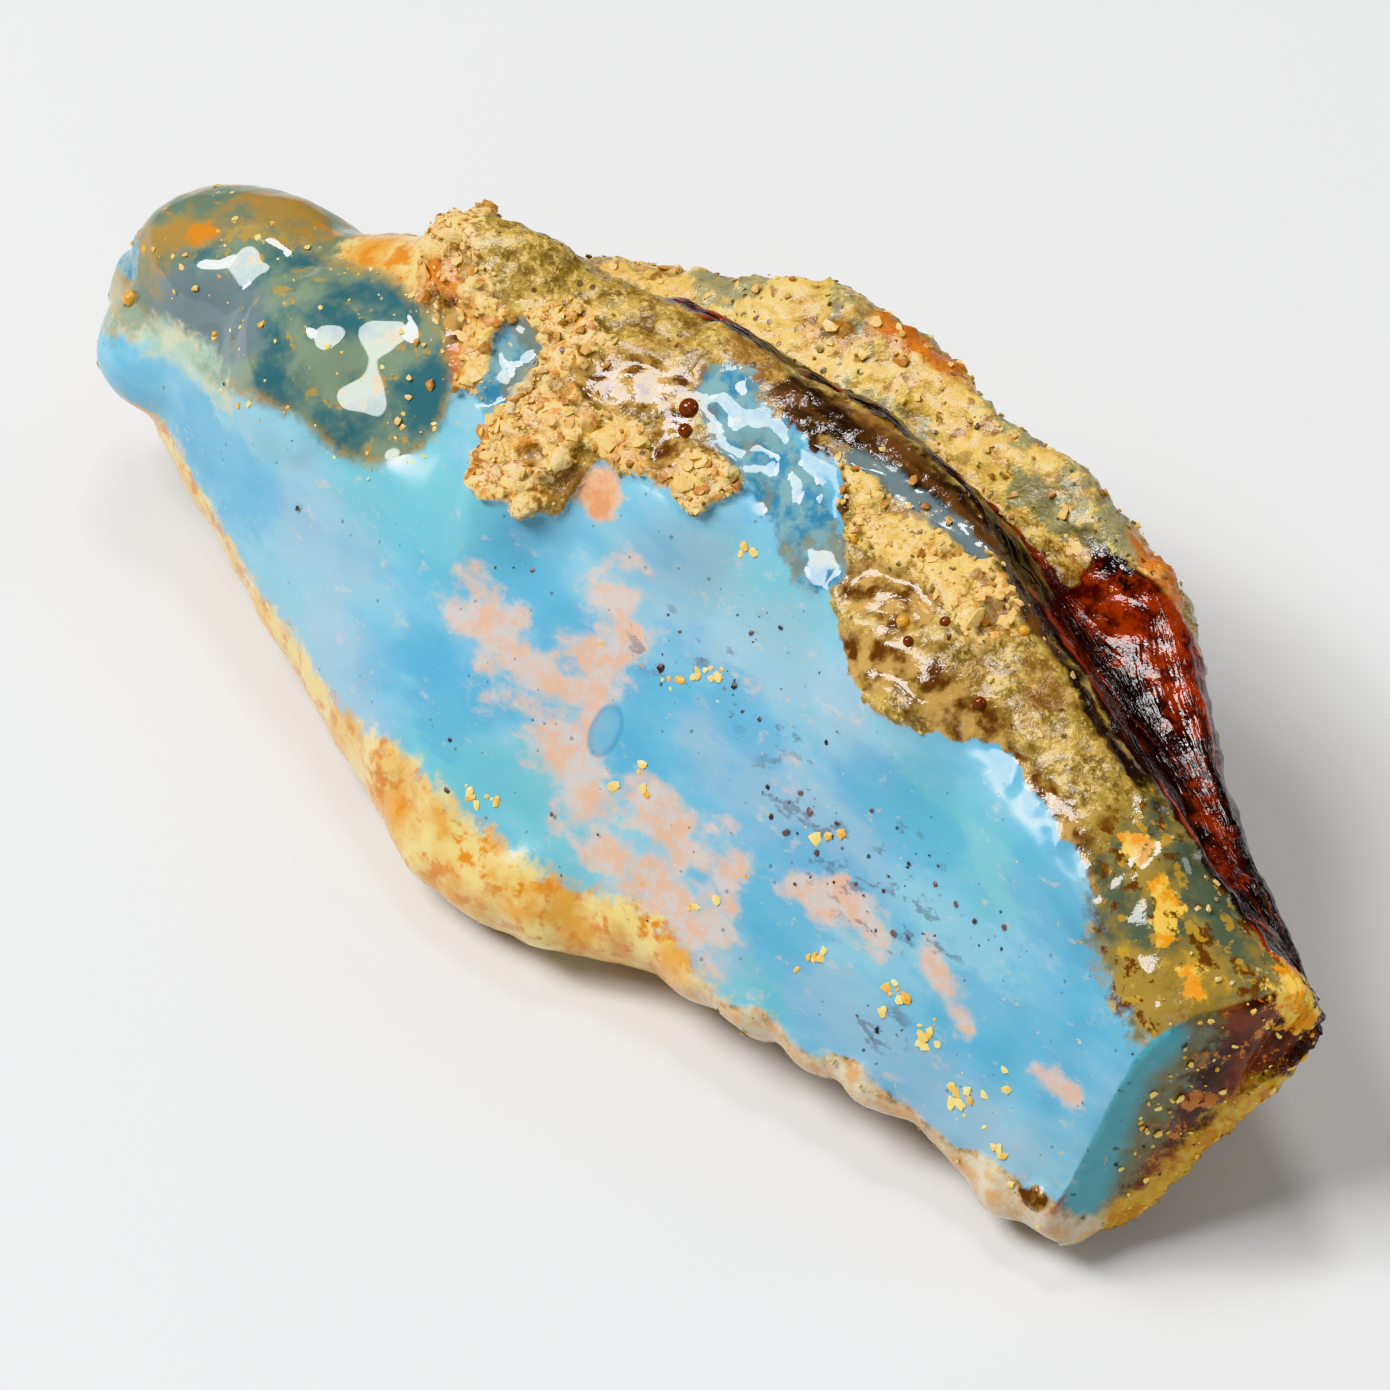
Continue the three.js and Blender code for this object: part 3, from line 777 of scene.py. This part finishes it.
# Roughening, in order: the relief or None for a plain push, its strength, its level ground and its skin
ROUGHENINGS = (
    (None, 0.5, 0.0, "rough skin"),
    (None, 1.0, 0.0, "crusted skin"),
    ("lumps", 2.2, 0.5, "rough skin"),
    ("tears", 2.6, 0.5, "crusted skin"),
    ("plates", 2.2, 0.35, "crusted skin"),
    ("pits", 0.8, 0.3, "rough skin"),
    ("flakes", 0.7, 0.5, "crusted skin"),
    ("grains", 0.6, 0.5, "rough skin"),
    ("grains", 0.8, 0.5, "crusted skin"),
    ("ripples", 1.1, 0.5, "glassy skin"),
    ("drops", 1.4, 0.5, "wet skin"),
    ("beads", 0.75, 0.5, "beaded skin"),
    ("tears", 1.1, 0.5, "torn skin"),
    (None, 2.5, 0.5, "wrinkled skin"),
    (None, -1.4, 0.0, "sunk skin"),
    (None, 1.7, 0.4, "scalloped skin"),
)


def skin_fields(points, normals):
    """What the skin is made of at each point, as named fields: a half is a region's border, 1 is well inside it."""
    x = points[:, 0]
    wide = lumpy(points, 2.6)
    ragged = 0.6 * lumpy(points, 1.1, 5.0) + 0.4 * lumpy(points, 0.55, 9.0)
    soft = points + 0.35 * np.stack([ragged, wide, ragged], axis=1)
    even_girth = girth_of(points)
    girth = even_girth + 0.05 * wide + 0.05 * ragged
    flat = on_window(points)

    up = flat[:, 1] + 0.45 * ragged
    rind_up = np.interp(x, *zip(*RIND_EDGE))
    toe_up = np.interp(x, *zip(*TOE_EDGE))
    front = (girth < CREST + 0.2) | (girth > KEEL)
    above_toe = smooth(up, toe_up - 0.9, toe_up + 0.9)
    below_rind = smooth(rind_up - up, -0.9, 0.9)
    facing = smooth(normals @ WINDOW_OUT, -0.1, 0.3)
    rim = (1 - above_toe) * np.where(girth < BROW, 1, smooth(girth, BELLY + 0.2, BELLY + 0.6))

    valley_top = VALLEY + np.interp(x, VALLEY_X, VALLEY_REACH)
    valley = smooth(girth, CREST - 0.05, CREST + 0.2) * smooth(x, -10, -2)
    valley = valley * (1 - smooth(girth, valley_top - 0.2, valley_top + 0.2))
    to_end = normals[:, 0] * 0.78 - normals[:, 1] * 0.6 + 0.02 * ragged

    behind = smooth(girth, LEDGE + 0.2, LEDGE + 0.8) * (1 - smooth(girth, BELLY - 0.2, BELLY + 0.4))
    broken = lumpy(points * (0.6, 1, 1.2), 4.6, 11.0) + 0.3 * wide + 0.3 * ragged
    breaks = smooth(broken, 0.0, 0.75) * behind
    patches = lumpy(points * (0.7, 1, 1), 3.4, 21.0) + 0.3 * ragged

    brown = near_paths(soft, BROWN_POCKETS)
    free = 1 - smooth(brown, 0.5, 0.7)
    # Smooth gold low on the belly and the toe: partly its own colour, partly painted glow of light through the thin
    # stone.
    low_gold = near_paths(soft, SMOOTH_GOLDS) * (1 - smooth(up, toe_up - 0.2, toe_up + 2.2))
    wrinkles = 0.5 + folds(x, girth, FOLD_ALONG, FOLD_ACROSS, 3.0) + 0.4 * folds(x, girth, 0.3, 8.0, 17.0)
    return {
        "window": np.where(front, above_toe * below_rind * facing, 0),
        "glass": near_paths(points + 0.15 * (soft - points), GLASSY_NODULE),
        "tip": near_paths(soft, TIP_GLASS),
        "gap": near_paths(soft, BLUE_GAPS),
        "valley": np.maximum(valley, 0.95 * breaks),
        "sunk": smooth(breaks, 0.35, 0.8) * behind,
        "end": smooth(to_end, 0.74, 0.9) * smooth(x, 19.5, 21.5),
        "teal end": near_paths(points, END_TEAL),
        "ember": np.maximum(near_paths(soft, EMBERS), 0.66 * behind * smooth(breaks, 0.1, 0.45)),
        "dusk": near_paths(soft, DUSKS),
        "corner": near_paths(soft, CORNER_OLIVES),
        "olive end": near_paths(soft, END_OLIVE),
        "gold end": near_paths(soft, END_GOLD),
        "gold": near_paths(soft, GOLD_CRUSTS),
        "smooth gold": np.maximum(low_gold * free, near_paths(soft, GLAZED_GOLDS)),
        "sand": np.maximum(near_paths(soft, YELLOW_SANDS), 0.7 * behind * smooth(patches, -0.25, 0.35)),
        "grey": np.maximum(near_paths(soft, GREY_GREENS), 0.66 * behind * smooth(patches, 0.0, -0.5)),
        "corner gold": near_paths(soft, CORNER_GOLDS),
        "brown": brown,
        "red": np.maximum(near_paths(soft, RED_GLOWS), 0.45 * behind * (1 - smooth(broken, 0.3, 0.9))),
        "cream": rim * smooth(x, 4.5, 7.5) * free,
        "pale band": near_paths(soft, PALE_BAND),
        "ridge": near_paths(soft, DARK_RIDGES),
        "peach spot": near_paths(flat + 0.12 * ragged[:, None], PEACH_SPOT),
        "blue spot": near_paths(flat * BLUE_SPOT_SQUEEZE, BLUE_SPOT),
        "round": even_girth,
        "peach": near_paths(flat, PEACH_CLOUDS),
        "teal": near_paths(flat, TEAL_WATERS),
        "deep": near_paths(flat, DEEP_WATERS),
        "haze": near_paths(flat, LILAC_HAZES),
        "specks": near_paths(flat, SPECK_DRIFTS),
        "scallops": rim * (0.4 + 0.6 * smooth(x, 5.0, 8.0)) * (0.5 + 0.5 * np.sin(x * 2.3 + 2.0 * wide)),
        "wrinkles": np.clip(wrinkles, 0, 1),
    }


def fine_skin(settings):
    """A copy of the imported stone, remeshed fine and worn soft."""
    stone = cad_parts["amber_piece"].copy()
    stone.data = stone.data.copy()
    stone.name = "amber_stone"
    for key in list(stone.keys()):
        del stone[key]
    stone.parent = None
    stone.hide_render = False
    bpy.context.scene.collection.objects.link(stone)
    pick_only(stone)
    bpy.ops.object.mode_set(mode="EDIT")
    bpy.ops.mesh.select_all(action="SELECT")
    bpy.ops.mesh.remove_doubles(threshold=MERGE_WITHIN * MM)
    bpy.ops.object.mode_set(mode="OBJECT")
    apply_modifier(stone, "REMESH", "Fine skin", mode="VOXEL", voxel_size=settings.skin_cell)
    apply_modifier(stone, "SMOOTH", "Worn facets", factor=0.5, iterations=settings.wear)
    return stone


def shape_stone(settings):
    """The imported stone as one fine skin, roughened by what each region of it is made of."""
    stone = fine_skin(settings)
    fields = skin_fields(places_of(stone), vectors_of(stone, "normal"))
    inside = {name: smooth(values, 0.4, 0.6) for name, values in fields.items()}
    keep_group(stone, "worn skin", np.max([inside["glass"], inside["tip"], inside["dusk"]], axis=0))
    worn = {"factor": 0.5, "iterations": settings.wear, "vertex_group": "worn skin"}
    apply_modifier(stone, "SMOOTH", "Worn glass", **worn)
    before = places_of(stone)
    outward = vectors_of(stone, "normal")

    rind = np.ones(len(before))
    for name, share in SMOOTHED.items():
        rind *= 1 - share * inside[name]
    flatter = (1 - 0.6 * smooth(before[:, 1], 4.5, 6.5)) * (1 - 0.45 * inside["sand"])
    crust = rind * inside["gold"] * flatter
    torn = np.maximum(inside["valley"], 0.6 * inside["end"])
    brown, gap = inside["brown"], inside["gap"]
    groups = {
        "rough skin": rind,
        "crusted skin": crust,
        "glassy skin": np.maximum(inside["glass"], 0.5 * inside["tip"]),
        "wet skin": np.max([gap, 0.5 * brown, 0.8 * inside["corner"]], axis=0),
        "beaded skin": np.maximum(brown, 0.4 * gap),
        "torn skin": torn,
        "sunk skin": fields["sunk"],
        "wrinkled skin": torn * fields["wrinkles"],
        "scalloped skin": fields["scallops"],
    }
    for name, weights in groups.items():
        keep_group(stone, name, weights)
    for name, values in fields.items():
        keep_field(stone, name, values)

    textures = {name: relief_texture(name, kind, size, **rest) for name, (kind, size, rest) in RELIEFS.items()}
    for relief, strength, level, group in ROUGHENINGS:
        push = {"strength": strength * settings.rind_relief, "mid_level": level, "vertex_group": group}
        if relief:
            push |= {"texture": textures[relief], "texture_coords": "LOCAL"}
        apply_modifier(stone, "DISPLACE", group, **push)
    stone.vertex_groups.clear()

    places = places_of(stone)
    # How far each point was pushed out along its normal: the field by which the amber paints shade on low places and
    # highlights on high ones.
    rise = ((places - before) * outward).sum(axis=1)
    keep_field(stone, "rise", np.clip(0.5 + rise - 0.15 * rind - 0.3 * crust, 0, 1))
    keep_threes(stone)
    places[:, 2] = np.maximum(places[:, 2], 0)
    stone.data.vertices.foreach_set("co", (places * MM).astype(np.float32).ravel())
    pick_only(stone)
    bpy.ops.object.shade_smooth()
    return stone


# ---- What lies on the stone and in it ----

GRAIN_ROUGHNESS = 0.24
GRAIN_SHAPES = 4
GRAIN_CORNERS = 12
OFF_FLOOR = 0.6  # grains stay this far above the floor
SETTLE = 0.05  # how far a grain strays from its place
CLOUD_COUNT = 9
DARK_SPECKS = 150
END_SPARKS = 110


def region_reader(stone):
    """A function that gives how far inside a region each point is, by two levels of the region's field."""

    def inside(name, low=0.4, high=0.6):
        return smooth(read_field(stone, name), low, high)

    return inside


def grain_shape(seed):
    """One rough grain about 1 across, as its vertices and its triangles."""
    bpy.ops.object.select_all(action="DESELECT")
    bpy.ops.mesh.primitive_ico_sphere_add(subdivisions=1, radius=0.5, location=(0, 0, 0))
    grain_object = bpy.context.object
    bpy.ops.object.mode_set(mode="EDIT")
    bpy.ops.mesh.select_all(action="SELECT")
    bpy.ops.transform.vertex_random(offset=GRAIN_ROUGHNESS, seed=seed)
    bpy.ops.object.mode_set(mode="OBJECT")
    mesh = grain_object.data
    shape = np.array([v.co[:] for v in mesh.vertices]), np.array([p.vertices[:] for p in mesh.polygons])
    bpy.data.objects.remove(grain_object)
    bpy.data.meshes.remove(mesh)
    return shape


def scatter(name, picked, flatness, lift, seed, tilt=0.0):
    """Grains at the picked places, flattened along the normals and lifted by a share of their size, as one mesh."""
    rng = np.random.default_rng(seed)
    shapes = [grain_shape(seed + k) for k in range(GRAIN_SHAPES)]
    vertices, faces, tones = [], [], []
    for k, (place, normal, size) in enumerate(zip(*picked)):
        shape, triangles = shapes[k % GRAIN_SHAPES]
        normal = normal + rng.normal(size=3) * tilt
        normal /= np.linalg.norm(normal)
        side = np.cross(normal, rng.normal(size=3))
        side /= np.linalg.norm(side)
        across = np.cross(normal, side)
        axes = np.array([side * rng.uniform(0.7, 1.4), across * rng.uniform(0.6, 1.1), normal * flatness])
        vertices.append(place + normal * lift * size + (shape * size) @ axes)
        faces.append(triangles + GRAIN_CORNERS * k)
        tones.append(np.full(GRAIN_CORNERS, rng.uniform(0, 1)))
    mesh = bpy.data.meshes.new(name)
    mesh.from_pydata((np.concatenate(vertices) * MM).tolist(), [], np.concatenate(faces).tolist())
    made = bpy.data.objects.new(name, mesh)
    bpy.context.scene.collection.objects.link(made)
    keep_field(made, "tone", np.concatenate(tones))
    return made


def pick_places(stone, weights, count, sizes, seed, bias=2.0):
    """Places, normals and sizes on the stone, chosen by weight, with most sizes near the smaller one."""
    rng = np.random.default_rng(seed)
    places = places_of(stone)
    weights = weights * (places[:, 2] > OFF_FLOOR)
    chosen = rng.choice(len(places), count, replace=False, p=weights / weights.sum())
    spread = sizes[0] + (sizes[1] - sizes[0]) * rng.uniform(0, 1, count) ** bias
    strays = rng.normal(scale=SETTLE, size=(count, 3))
    return places[chosen] + strays, vectors_of(stone, "normal")[chosen], spread


def on_stone(stone, spots, spread, seed):
    """Places and normals on the window near the spots, given as (x, up): a small cluster at each."""
    rng = np.random.default_rng(seed)
    places, normals = places_of(stone), vectors_of(stone, "normal")
    facing = np.flatnonzero(normals @ WINDOW_OUT > 0.5)
    flat = on_window(places[facing])
    found = []
    for spot in spots:
        for _ in range(rng.integers(2, 6)):
            aim = np.array(spot) + rng.normal(scale=spread, size=2)
            found.append(facing[np.argmin(((flat - aim) ** 2).sum(axis=1))])
    return places[found], normals[found]


def finish_piece(made, material):
    """Give a piece its material, and make it part of the one stone."""
    made.data.materials.append(material)
    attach(made, "root")


def add_cloud(place, normal, rng):
    """A flat ball under the nodule's skin, lying along it."""
    bpy.ops.object.select_all(action="DESELECT")
    middle = Vector(place - normal * rng.uniform(1.0, 1.9)) * MM
    bpy.ops.mesh.primitive_ico_sphere_add(subdivisions=4, radius=MM, location=middle)
    cloud = bpy.context.object
    cloud.scale = rng.uniform(0.9, 1.7), rng.uniform(0.6, 1.1), 0.35
    cloud.rotation_euler = Vector(normal).to_track_quat("Z", "Y").to_euler()
    return cloud


def join_parts(name, parts):
    """Join the parts into one piece that sits at the origin."""
    for part in parts:
        part.select_set(True)
    bpy.context.view_layer.objects.active = parts[0]
    bpy.ops.object.transform_apply(location=True, rotation=True, scale=True)
    bpy.ops.object.join()
    piece = bpy.context.object
    piece.name = name
    return piece


def add_beads(stone):
    """The red beads on the crest and the golden beads there and at the tip."""
    for name, (spots, colour, clear) in BEADS.items():
        parts = []
        for x, y, z, radius in spots:
            bpy.ops.object.select_all(action="DESELECT")
            where = stone.closest_point_on_mesh(Vector((x, y, z)) * MM)[1]
            bpy.ops.mesh.primitive_uv_sphere_add(segments=20, ring_count=12, radius=radius * MM, location=where)
            parts.append(bpy.context.object)
        piece = join_parts(name, parts)
        bpy.ops.object.shade_smooth()
        shades = Shades(name.replace("_", " "))
        bright = linear(*colour)
        worn = [BEAD_WEAR * c for c in bright]
        worn = shades.mixed(shades.step(shades.grain(0.4, 4.0), 0.35, 0.65), worn, colour)
        shades.feed(Base_Color=worn, Roughness=0.12, Transmission_Weight=clear, IOR=AMBER_IOR)
        finish_piece(piece, shades.material)


# ---- The settings and the steps, one for each group of pieces ----


def length(name, description, default):
    return FloatProperty(name=name, description=description, default=default, unit="LENGTH", precision=5)


def count_of(name, description, default, **limits):
    return IntProperty(name=name, description=description, default=default, **limits)


def power(name, description, default):
    return FloatProperty(name=name, description=description, default=default, unit="POWER")


class AmberSettings(bpy.types.PropertyGroup):
    """Sizes of the stone's skin and of what is in it."""

    skin_cell: length("Skin cell", "Size of the skin's mesh cells", 0.00021)
    crumbs: count_of("Crumbs", "How many crumbs lie on the crusts", 900, min=1)
    flecks: count_of("Flecks", "How many gold flecks lie in the nodule", 170, min=1)
    wear: count_of("Wear", "How far facets and edges are worn soft", 22, min=0, max=80)
    rind_relief: length("Rind relief", "Height of the rind's lumps", 0.0003)
    depth_tint: FloatProperty(
        name="Depth tint", description="How fast the clear amber darkens with depth", default=90.0, min=0
    )
    window_blue: FloatVectorProperty(
        name="Window blue",
        description="Colour of the milk in the window",
        subtype="COLOR",
        default=linear(108, 184, 216),
    )


class StageSettings(bpy.types.PropertyGroup):
    """The floor and the lights."""

    floor_tone: FloatProperty(name="Floor tone", description="How pale the floor is", default=0.72, min=0, max=1)
    key_power: power("Key light", "Power of the large light above", 0.95)
    fill_power: power("Fill light", "Power of the light in front", 0.3)
    rim_power: power("Rim light", "Power of the light behind", 0.34)


class AMBER_OT_stone(bpy.types.Operator):
    """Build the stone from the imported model"""

    bl_idname = "amber.stone"
    bl_label = "Stone"

    def execute(self, context):
        settings = context.scene.amber
        stone = shape_stone(settings)
        stone.data.materials.clear()
        stone.data.materials.append(amber_material(settings))
        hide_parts("amber_piece")
        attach(stone, "root")
        return {"FINISHED"}


class AMBER_OT_crumbs(bpy.types.Operator):
    """Scatter loose crumbs over the crusts and along the window's edge"""

    bl_idname = "amber.crumbs"
    bl_label = "Crumbs"

    def execute(self, context):
        stone = bpy.data.objects["amber_stone"]
        count = context.scene.amber.crumbs
        inside = region_reader(stone)
        rough = (1 - inside("window")) * (1 - inside("valley"))
        for name in ("glass", "gap", "end", "smooth gold", "brown", "dusk", "tip"):
            rough = rough * (1 - 0.95 * inside(name, 0.35, 0.55))
        gold = inside("gold") * (1 - 0.85 * smooth(places_of(stone)[:, 1], 5.0, 6.5))
        border = inside("window", 0.2, 0.45) * (1 - inside("window", 0.5, 0.6))
        border = border * (read_field(stone, "smooth gold") < 0.4)
        plates = pick_places(stone, rough * gold, count // 3, (0.2, 0.8), 2, 2.0)
        made = scatter("crust_plates", plates, 0.35, -0.08, 71, 0.35)
        finish_piece(made, toned_material("crust plates", 0.45))
        crusts = pick_places(stone, rough * gold + 0.6 * border * gold, count, (0.07, 0.4), 3, 3.0)
        made = scatter("crust_crumbs", crusts, 0.6, 0.15, 11)
        finish_piece(made, toned_material("crust crumbs", 0.45))
        dusts = pick_places(stone, rough * (1 - gold) + 0.8 * border, count * 2 // 3, (0.08, 0.3), 4)
        made = scatter("crest_crumbs", dusts, 0.5, 0.15, 21)
        finish_piece(made, toned_material("crest crumbs", 0.35))
        return {"FINISHED"}


class AMBER_OT_flecks(bpy.types.Operator):
    """Scatter the gold flecks in the window, the nodule and the broken end, and the window's dark specks"""

    bl_idname = "amber.flecks"
    bl_label = "Gold flecks"

    def execute(self, context):
        stone = bpy.data.objects["amber_stone"]
        inside = region_reader(stone)
        gold = toned_material("gold flecks", 0.3)
        places, normals = on_stone(stone, GOLD_SPOTS, 0.28, 5)
        sizes = np.random.default_rng(6).uniform(0.12, 0.46, len(places))
        finish_piece(scatter("window_flecks", (places, normals, sizes), 0.35, 0.05, 31), gold)
        rim = inside("glass", 0.38, 0.47) * (1 - inside("glass", 0.5, 0.6))
        clear = inside("glass") + 2.5 * rim + 0.5 * inside("tip")
        clear = clear * smooth(places_of(stone)[:, 2], 9, 10)
        spots = pick_places(stone, clear, context.scene.amber.flecks, (0.08, 0.3), 7)
        finish_piece(scatter("nodule_flecks", spots, 0.5, -0.1, 41), gold)
        drifts = inside("window", 0.6, 0.8) * (read_field(stone, "specks") ** 2 + 0.05)
        dark = pick_places(stone, drifts, DARK_SPECKS, (0.06, 0.32), 9, 3.0)
        finish_piece(scatter("window_specks", dark, 0.2, 0.0, 61), toned_material("dark specks", 0.35))
        broken = inside("end") * smooth(1 - read_field(stone, "teal end"), 0.5, 0.8)
        sparks = pick_places(stone, broken, END_SPARKS, (0.08, 0.36), 8)
        finish_piece(scatter("end_flecks", sparks, 0.5, 0.0, 51), gold)
        return {"FINISHED"}


class AMBER_OT_sealed(bpy.types.Operator):
    """Seal milky clouds in the glassy nodule, and set the beads on the crest"""

    bl_idname = "amber.sealed"
    bl_label = "Sealed clouds and beads"

    def execute(self, context):
        stone = bpy.data.objects["amber_stone"]
        rng = np.random.default_rng(12)
        places, normals, _ = pick_places(stone, region_reader(stone)("glass", 0.6, 0.8), CLOUD_COUNT, (1, 1), 13)
        clouds = join_parts("sealed_clouds", [add_cloud(*each, rng) for each in zip(places, normals)])
        puffs = relief_texture("Cloud puffs", "CLOUDS", 0.7, noise_depth=2)
        apply_modifier(clouds, "DISPLACE", "Puffs", texture=puffs, strength=0.7 * MM, texture_coords="LOCAL")
        bpy.ops.object.shade_smooth()
        shades = Shades("sealed clouds")
        colour = shades.tint("cloud", shades.grain(0.8, 4.0), 0.4, 0.6)
        shades.feed(Base_Color=colour, Roughness=0.5, Transmission_Weight=0.3, IOR=AMBER_IOR)
        finish_piece(clouds, shades.material)
        add_beads(stone)
        return {"FINISHED"}


# ---- The stage ----

TARGET = Vector((1.49, -3.35, 8.0)) * MM
FLOOR_SIZE = 3.0
BACKDROP = (0.92, 0.95, 1.0)
BACKDROP_STRENGTH = 0.22
CAMERA_AZIMUTH, CAMERA_ELEVATION = math.radians(35.8), math.radians(50)
CAMERA_DISTANCE = 320
CAMERA_LENS = 236.1
CAMERA_SENSOR = 36
CAMERA_SHIFT = 0.1755  # up and to the left, which sets the stone in the picture


class AMBER_OT_stage(bpy.types.Operator):
    """Set the pale floor, the soft studio lights and the camera"""

    bl_idname = "amber.stage"
    bl_label = "Stage"

    def execute(self, context):
        stage = context.scene.amber_stage
        bpy.ops.object.select_all(action="DESELECT")
        bpy.ops.mesh.primitive_plane_add(size=FLOOR_SIZE, location=(0, 0, 0))
        floor = context.object
        floor.name = "floor"
        shades = Shades("pale floor")
        shades.feed(Base_Color=[stage.floor_tone] * 3, Roughness=0.7)
        floor.data.materials.append(shades.material)
        world = bpy.data.worlds.new("studio")
        context.scene.world = world
        world.use_nodes = True
        backdrop = world.node_tree.nodes["Background"]
        backdrop.inputs["Color"].default_value = (*BACKDROP, 1)
        backdrop.inputs["Strength"].default_value = BACKDROP_STRENGTH
        add_softbox("key light", (-0.38, -0.34, 0.86), 0.34, 0.18, stage.key_power)
        add_softbox("left light", (-0.63, -0.33, 0.69), 0.34, 0.07, stage.key_power * 0.3)
        add_softbox("top light", (-0.20, 0.24, 0.94), 0.34, 0.07, stage.key_power * 0.3)
        add_softbox("fill light", (0.55, -0.75, 0.40), 0.5, 0.4, stage.fill_power)
        add_softbox("rim light", (0.75, 0.6, 0.35), 0.4, 0.2, stage.rim_power)
        add_camera()
        context.scene.view_settings.view_transform = "Khronos PBR Neutral"
        return {"FINISHED"}


def add_softbox(name, direction, distance, size, light_power):
    """A round soft light at a distance from the target, facing it."""
    bpy.ops.object.select_all(action="DESELECT")
    way = Vector(direction).normalized()
    bpy.ops.object.light_add(type="AREA", location=TARGET + way * distance)
    light = bpy.context.object
    light.name = name
    light.data.shape = "DISK"
    light.data.size = size
    light.data.energy = light_power
    light.rotation_euler = way.to_track_quat("Z", "Y").to_euler()


def add_camera():
    """A long lens at the stone's right, looking down at the window."""
    away = math.cos(CAMERA_ELEVATION)
    across = Vector((math.cos(CAMERA_AZIMUTH), math.sin(CAMERA_AZIMUTH), 0))
    back = Vector((math.sin(CAMERA_AZIMUTH) * away, -math.cos(CAMERA_AZIMUTH) * away, math.sin(CAMERA_ELEVATION)))
    aim = TARGET + (back.cross(across) - across) * CAMERA_SHIFT * MM
    bpy.ops.object.select_all(action="DESELECT")
    bpy.ops.object.camera_add(location=aim + back * CAMERA_DISTANCE * MM)
    camera = bpy.context.object
    camera.rotation_euler = back.to_track_quat("Z", "Y").to_euler()
    camera.data.sensor_width = CAMERA_SENSOR
    camera.data.lens = CAMERA_LENS
    camera.data.clip_start = 0.01
    bpy.context.scene.camera = camera


# ---- The panel, and the run from start to end ----


class AMBER_PT_panel(bpy.types.Panel):
    """The steps that build the raw amber piece, and their settings"""

    bl_label = "Raw Amber Piece"
    bl_idname = "AMBER_PT_panel"
    bl_space_type = "VIEW_3D"
    bl_region_type = "UI"
    bl_category = "Amber"

    def draw(self, context):
        for settings in (context.scene.amber, context.scene.amber_stage):
            for name in settings.__annotations__:
                self.layout.prop(settings, name)
        for step_class in STEPS:
            self.layout.operator(step_class.bl_idname)


STEPS = (AMBER_OT_stone, AMBER_OT_crumbs, AMBER_OT_flecks, AMBER_OT_sealed, AMBER_OT_stage)
CLASSES = (AmberSettings, StageSettings, *STEPS, AMBER_PT_panel)


def register():
    for each in CLASSES:
        bpy.utils.register_class(each)
    bpy.types.Scene.amber = PointerProperty(type=AmberSettings)
    bpy.types.Scene.amber_stage = PointerProperty(type=StageSettings)


def unregister():
    del bpy.types.Scene.amber_stage
    del bpy.types.Scene.amber
    for each in reversed(CLASSES):
        bpy.utils.unregister_class(each)


def main():
    register()
    bpy.ops.amber.stone()
    bpy.ops.amber.crumbs()
    bpy.ops.amber.flecks()
    bpy.ops.amber.sealed()
    bpy.ops.amber.stage()


if __name__ == "__main__":
    main()
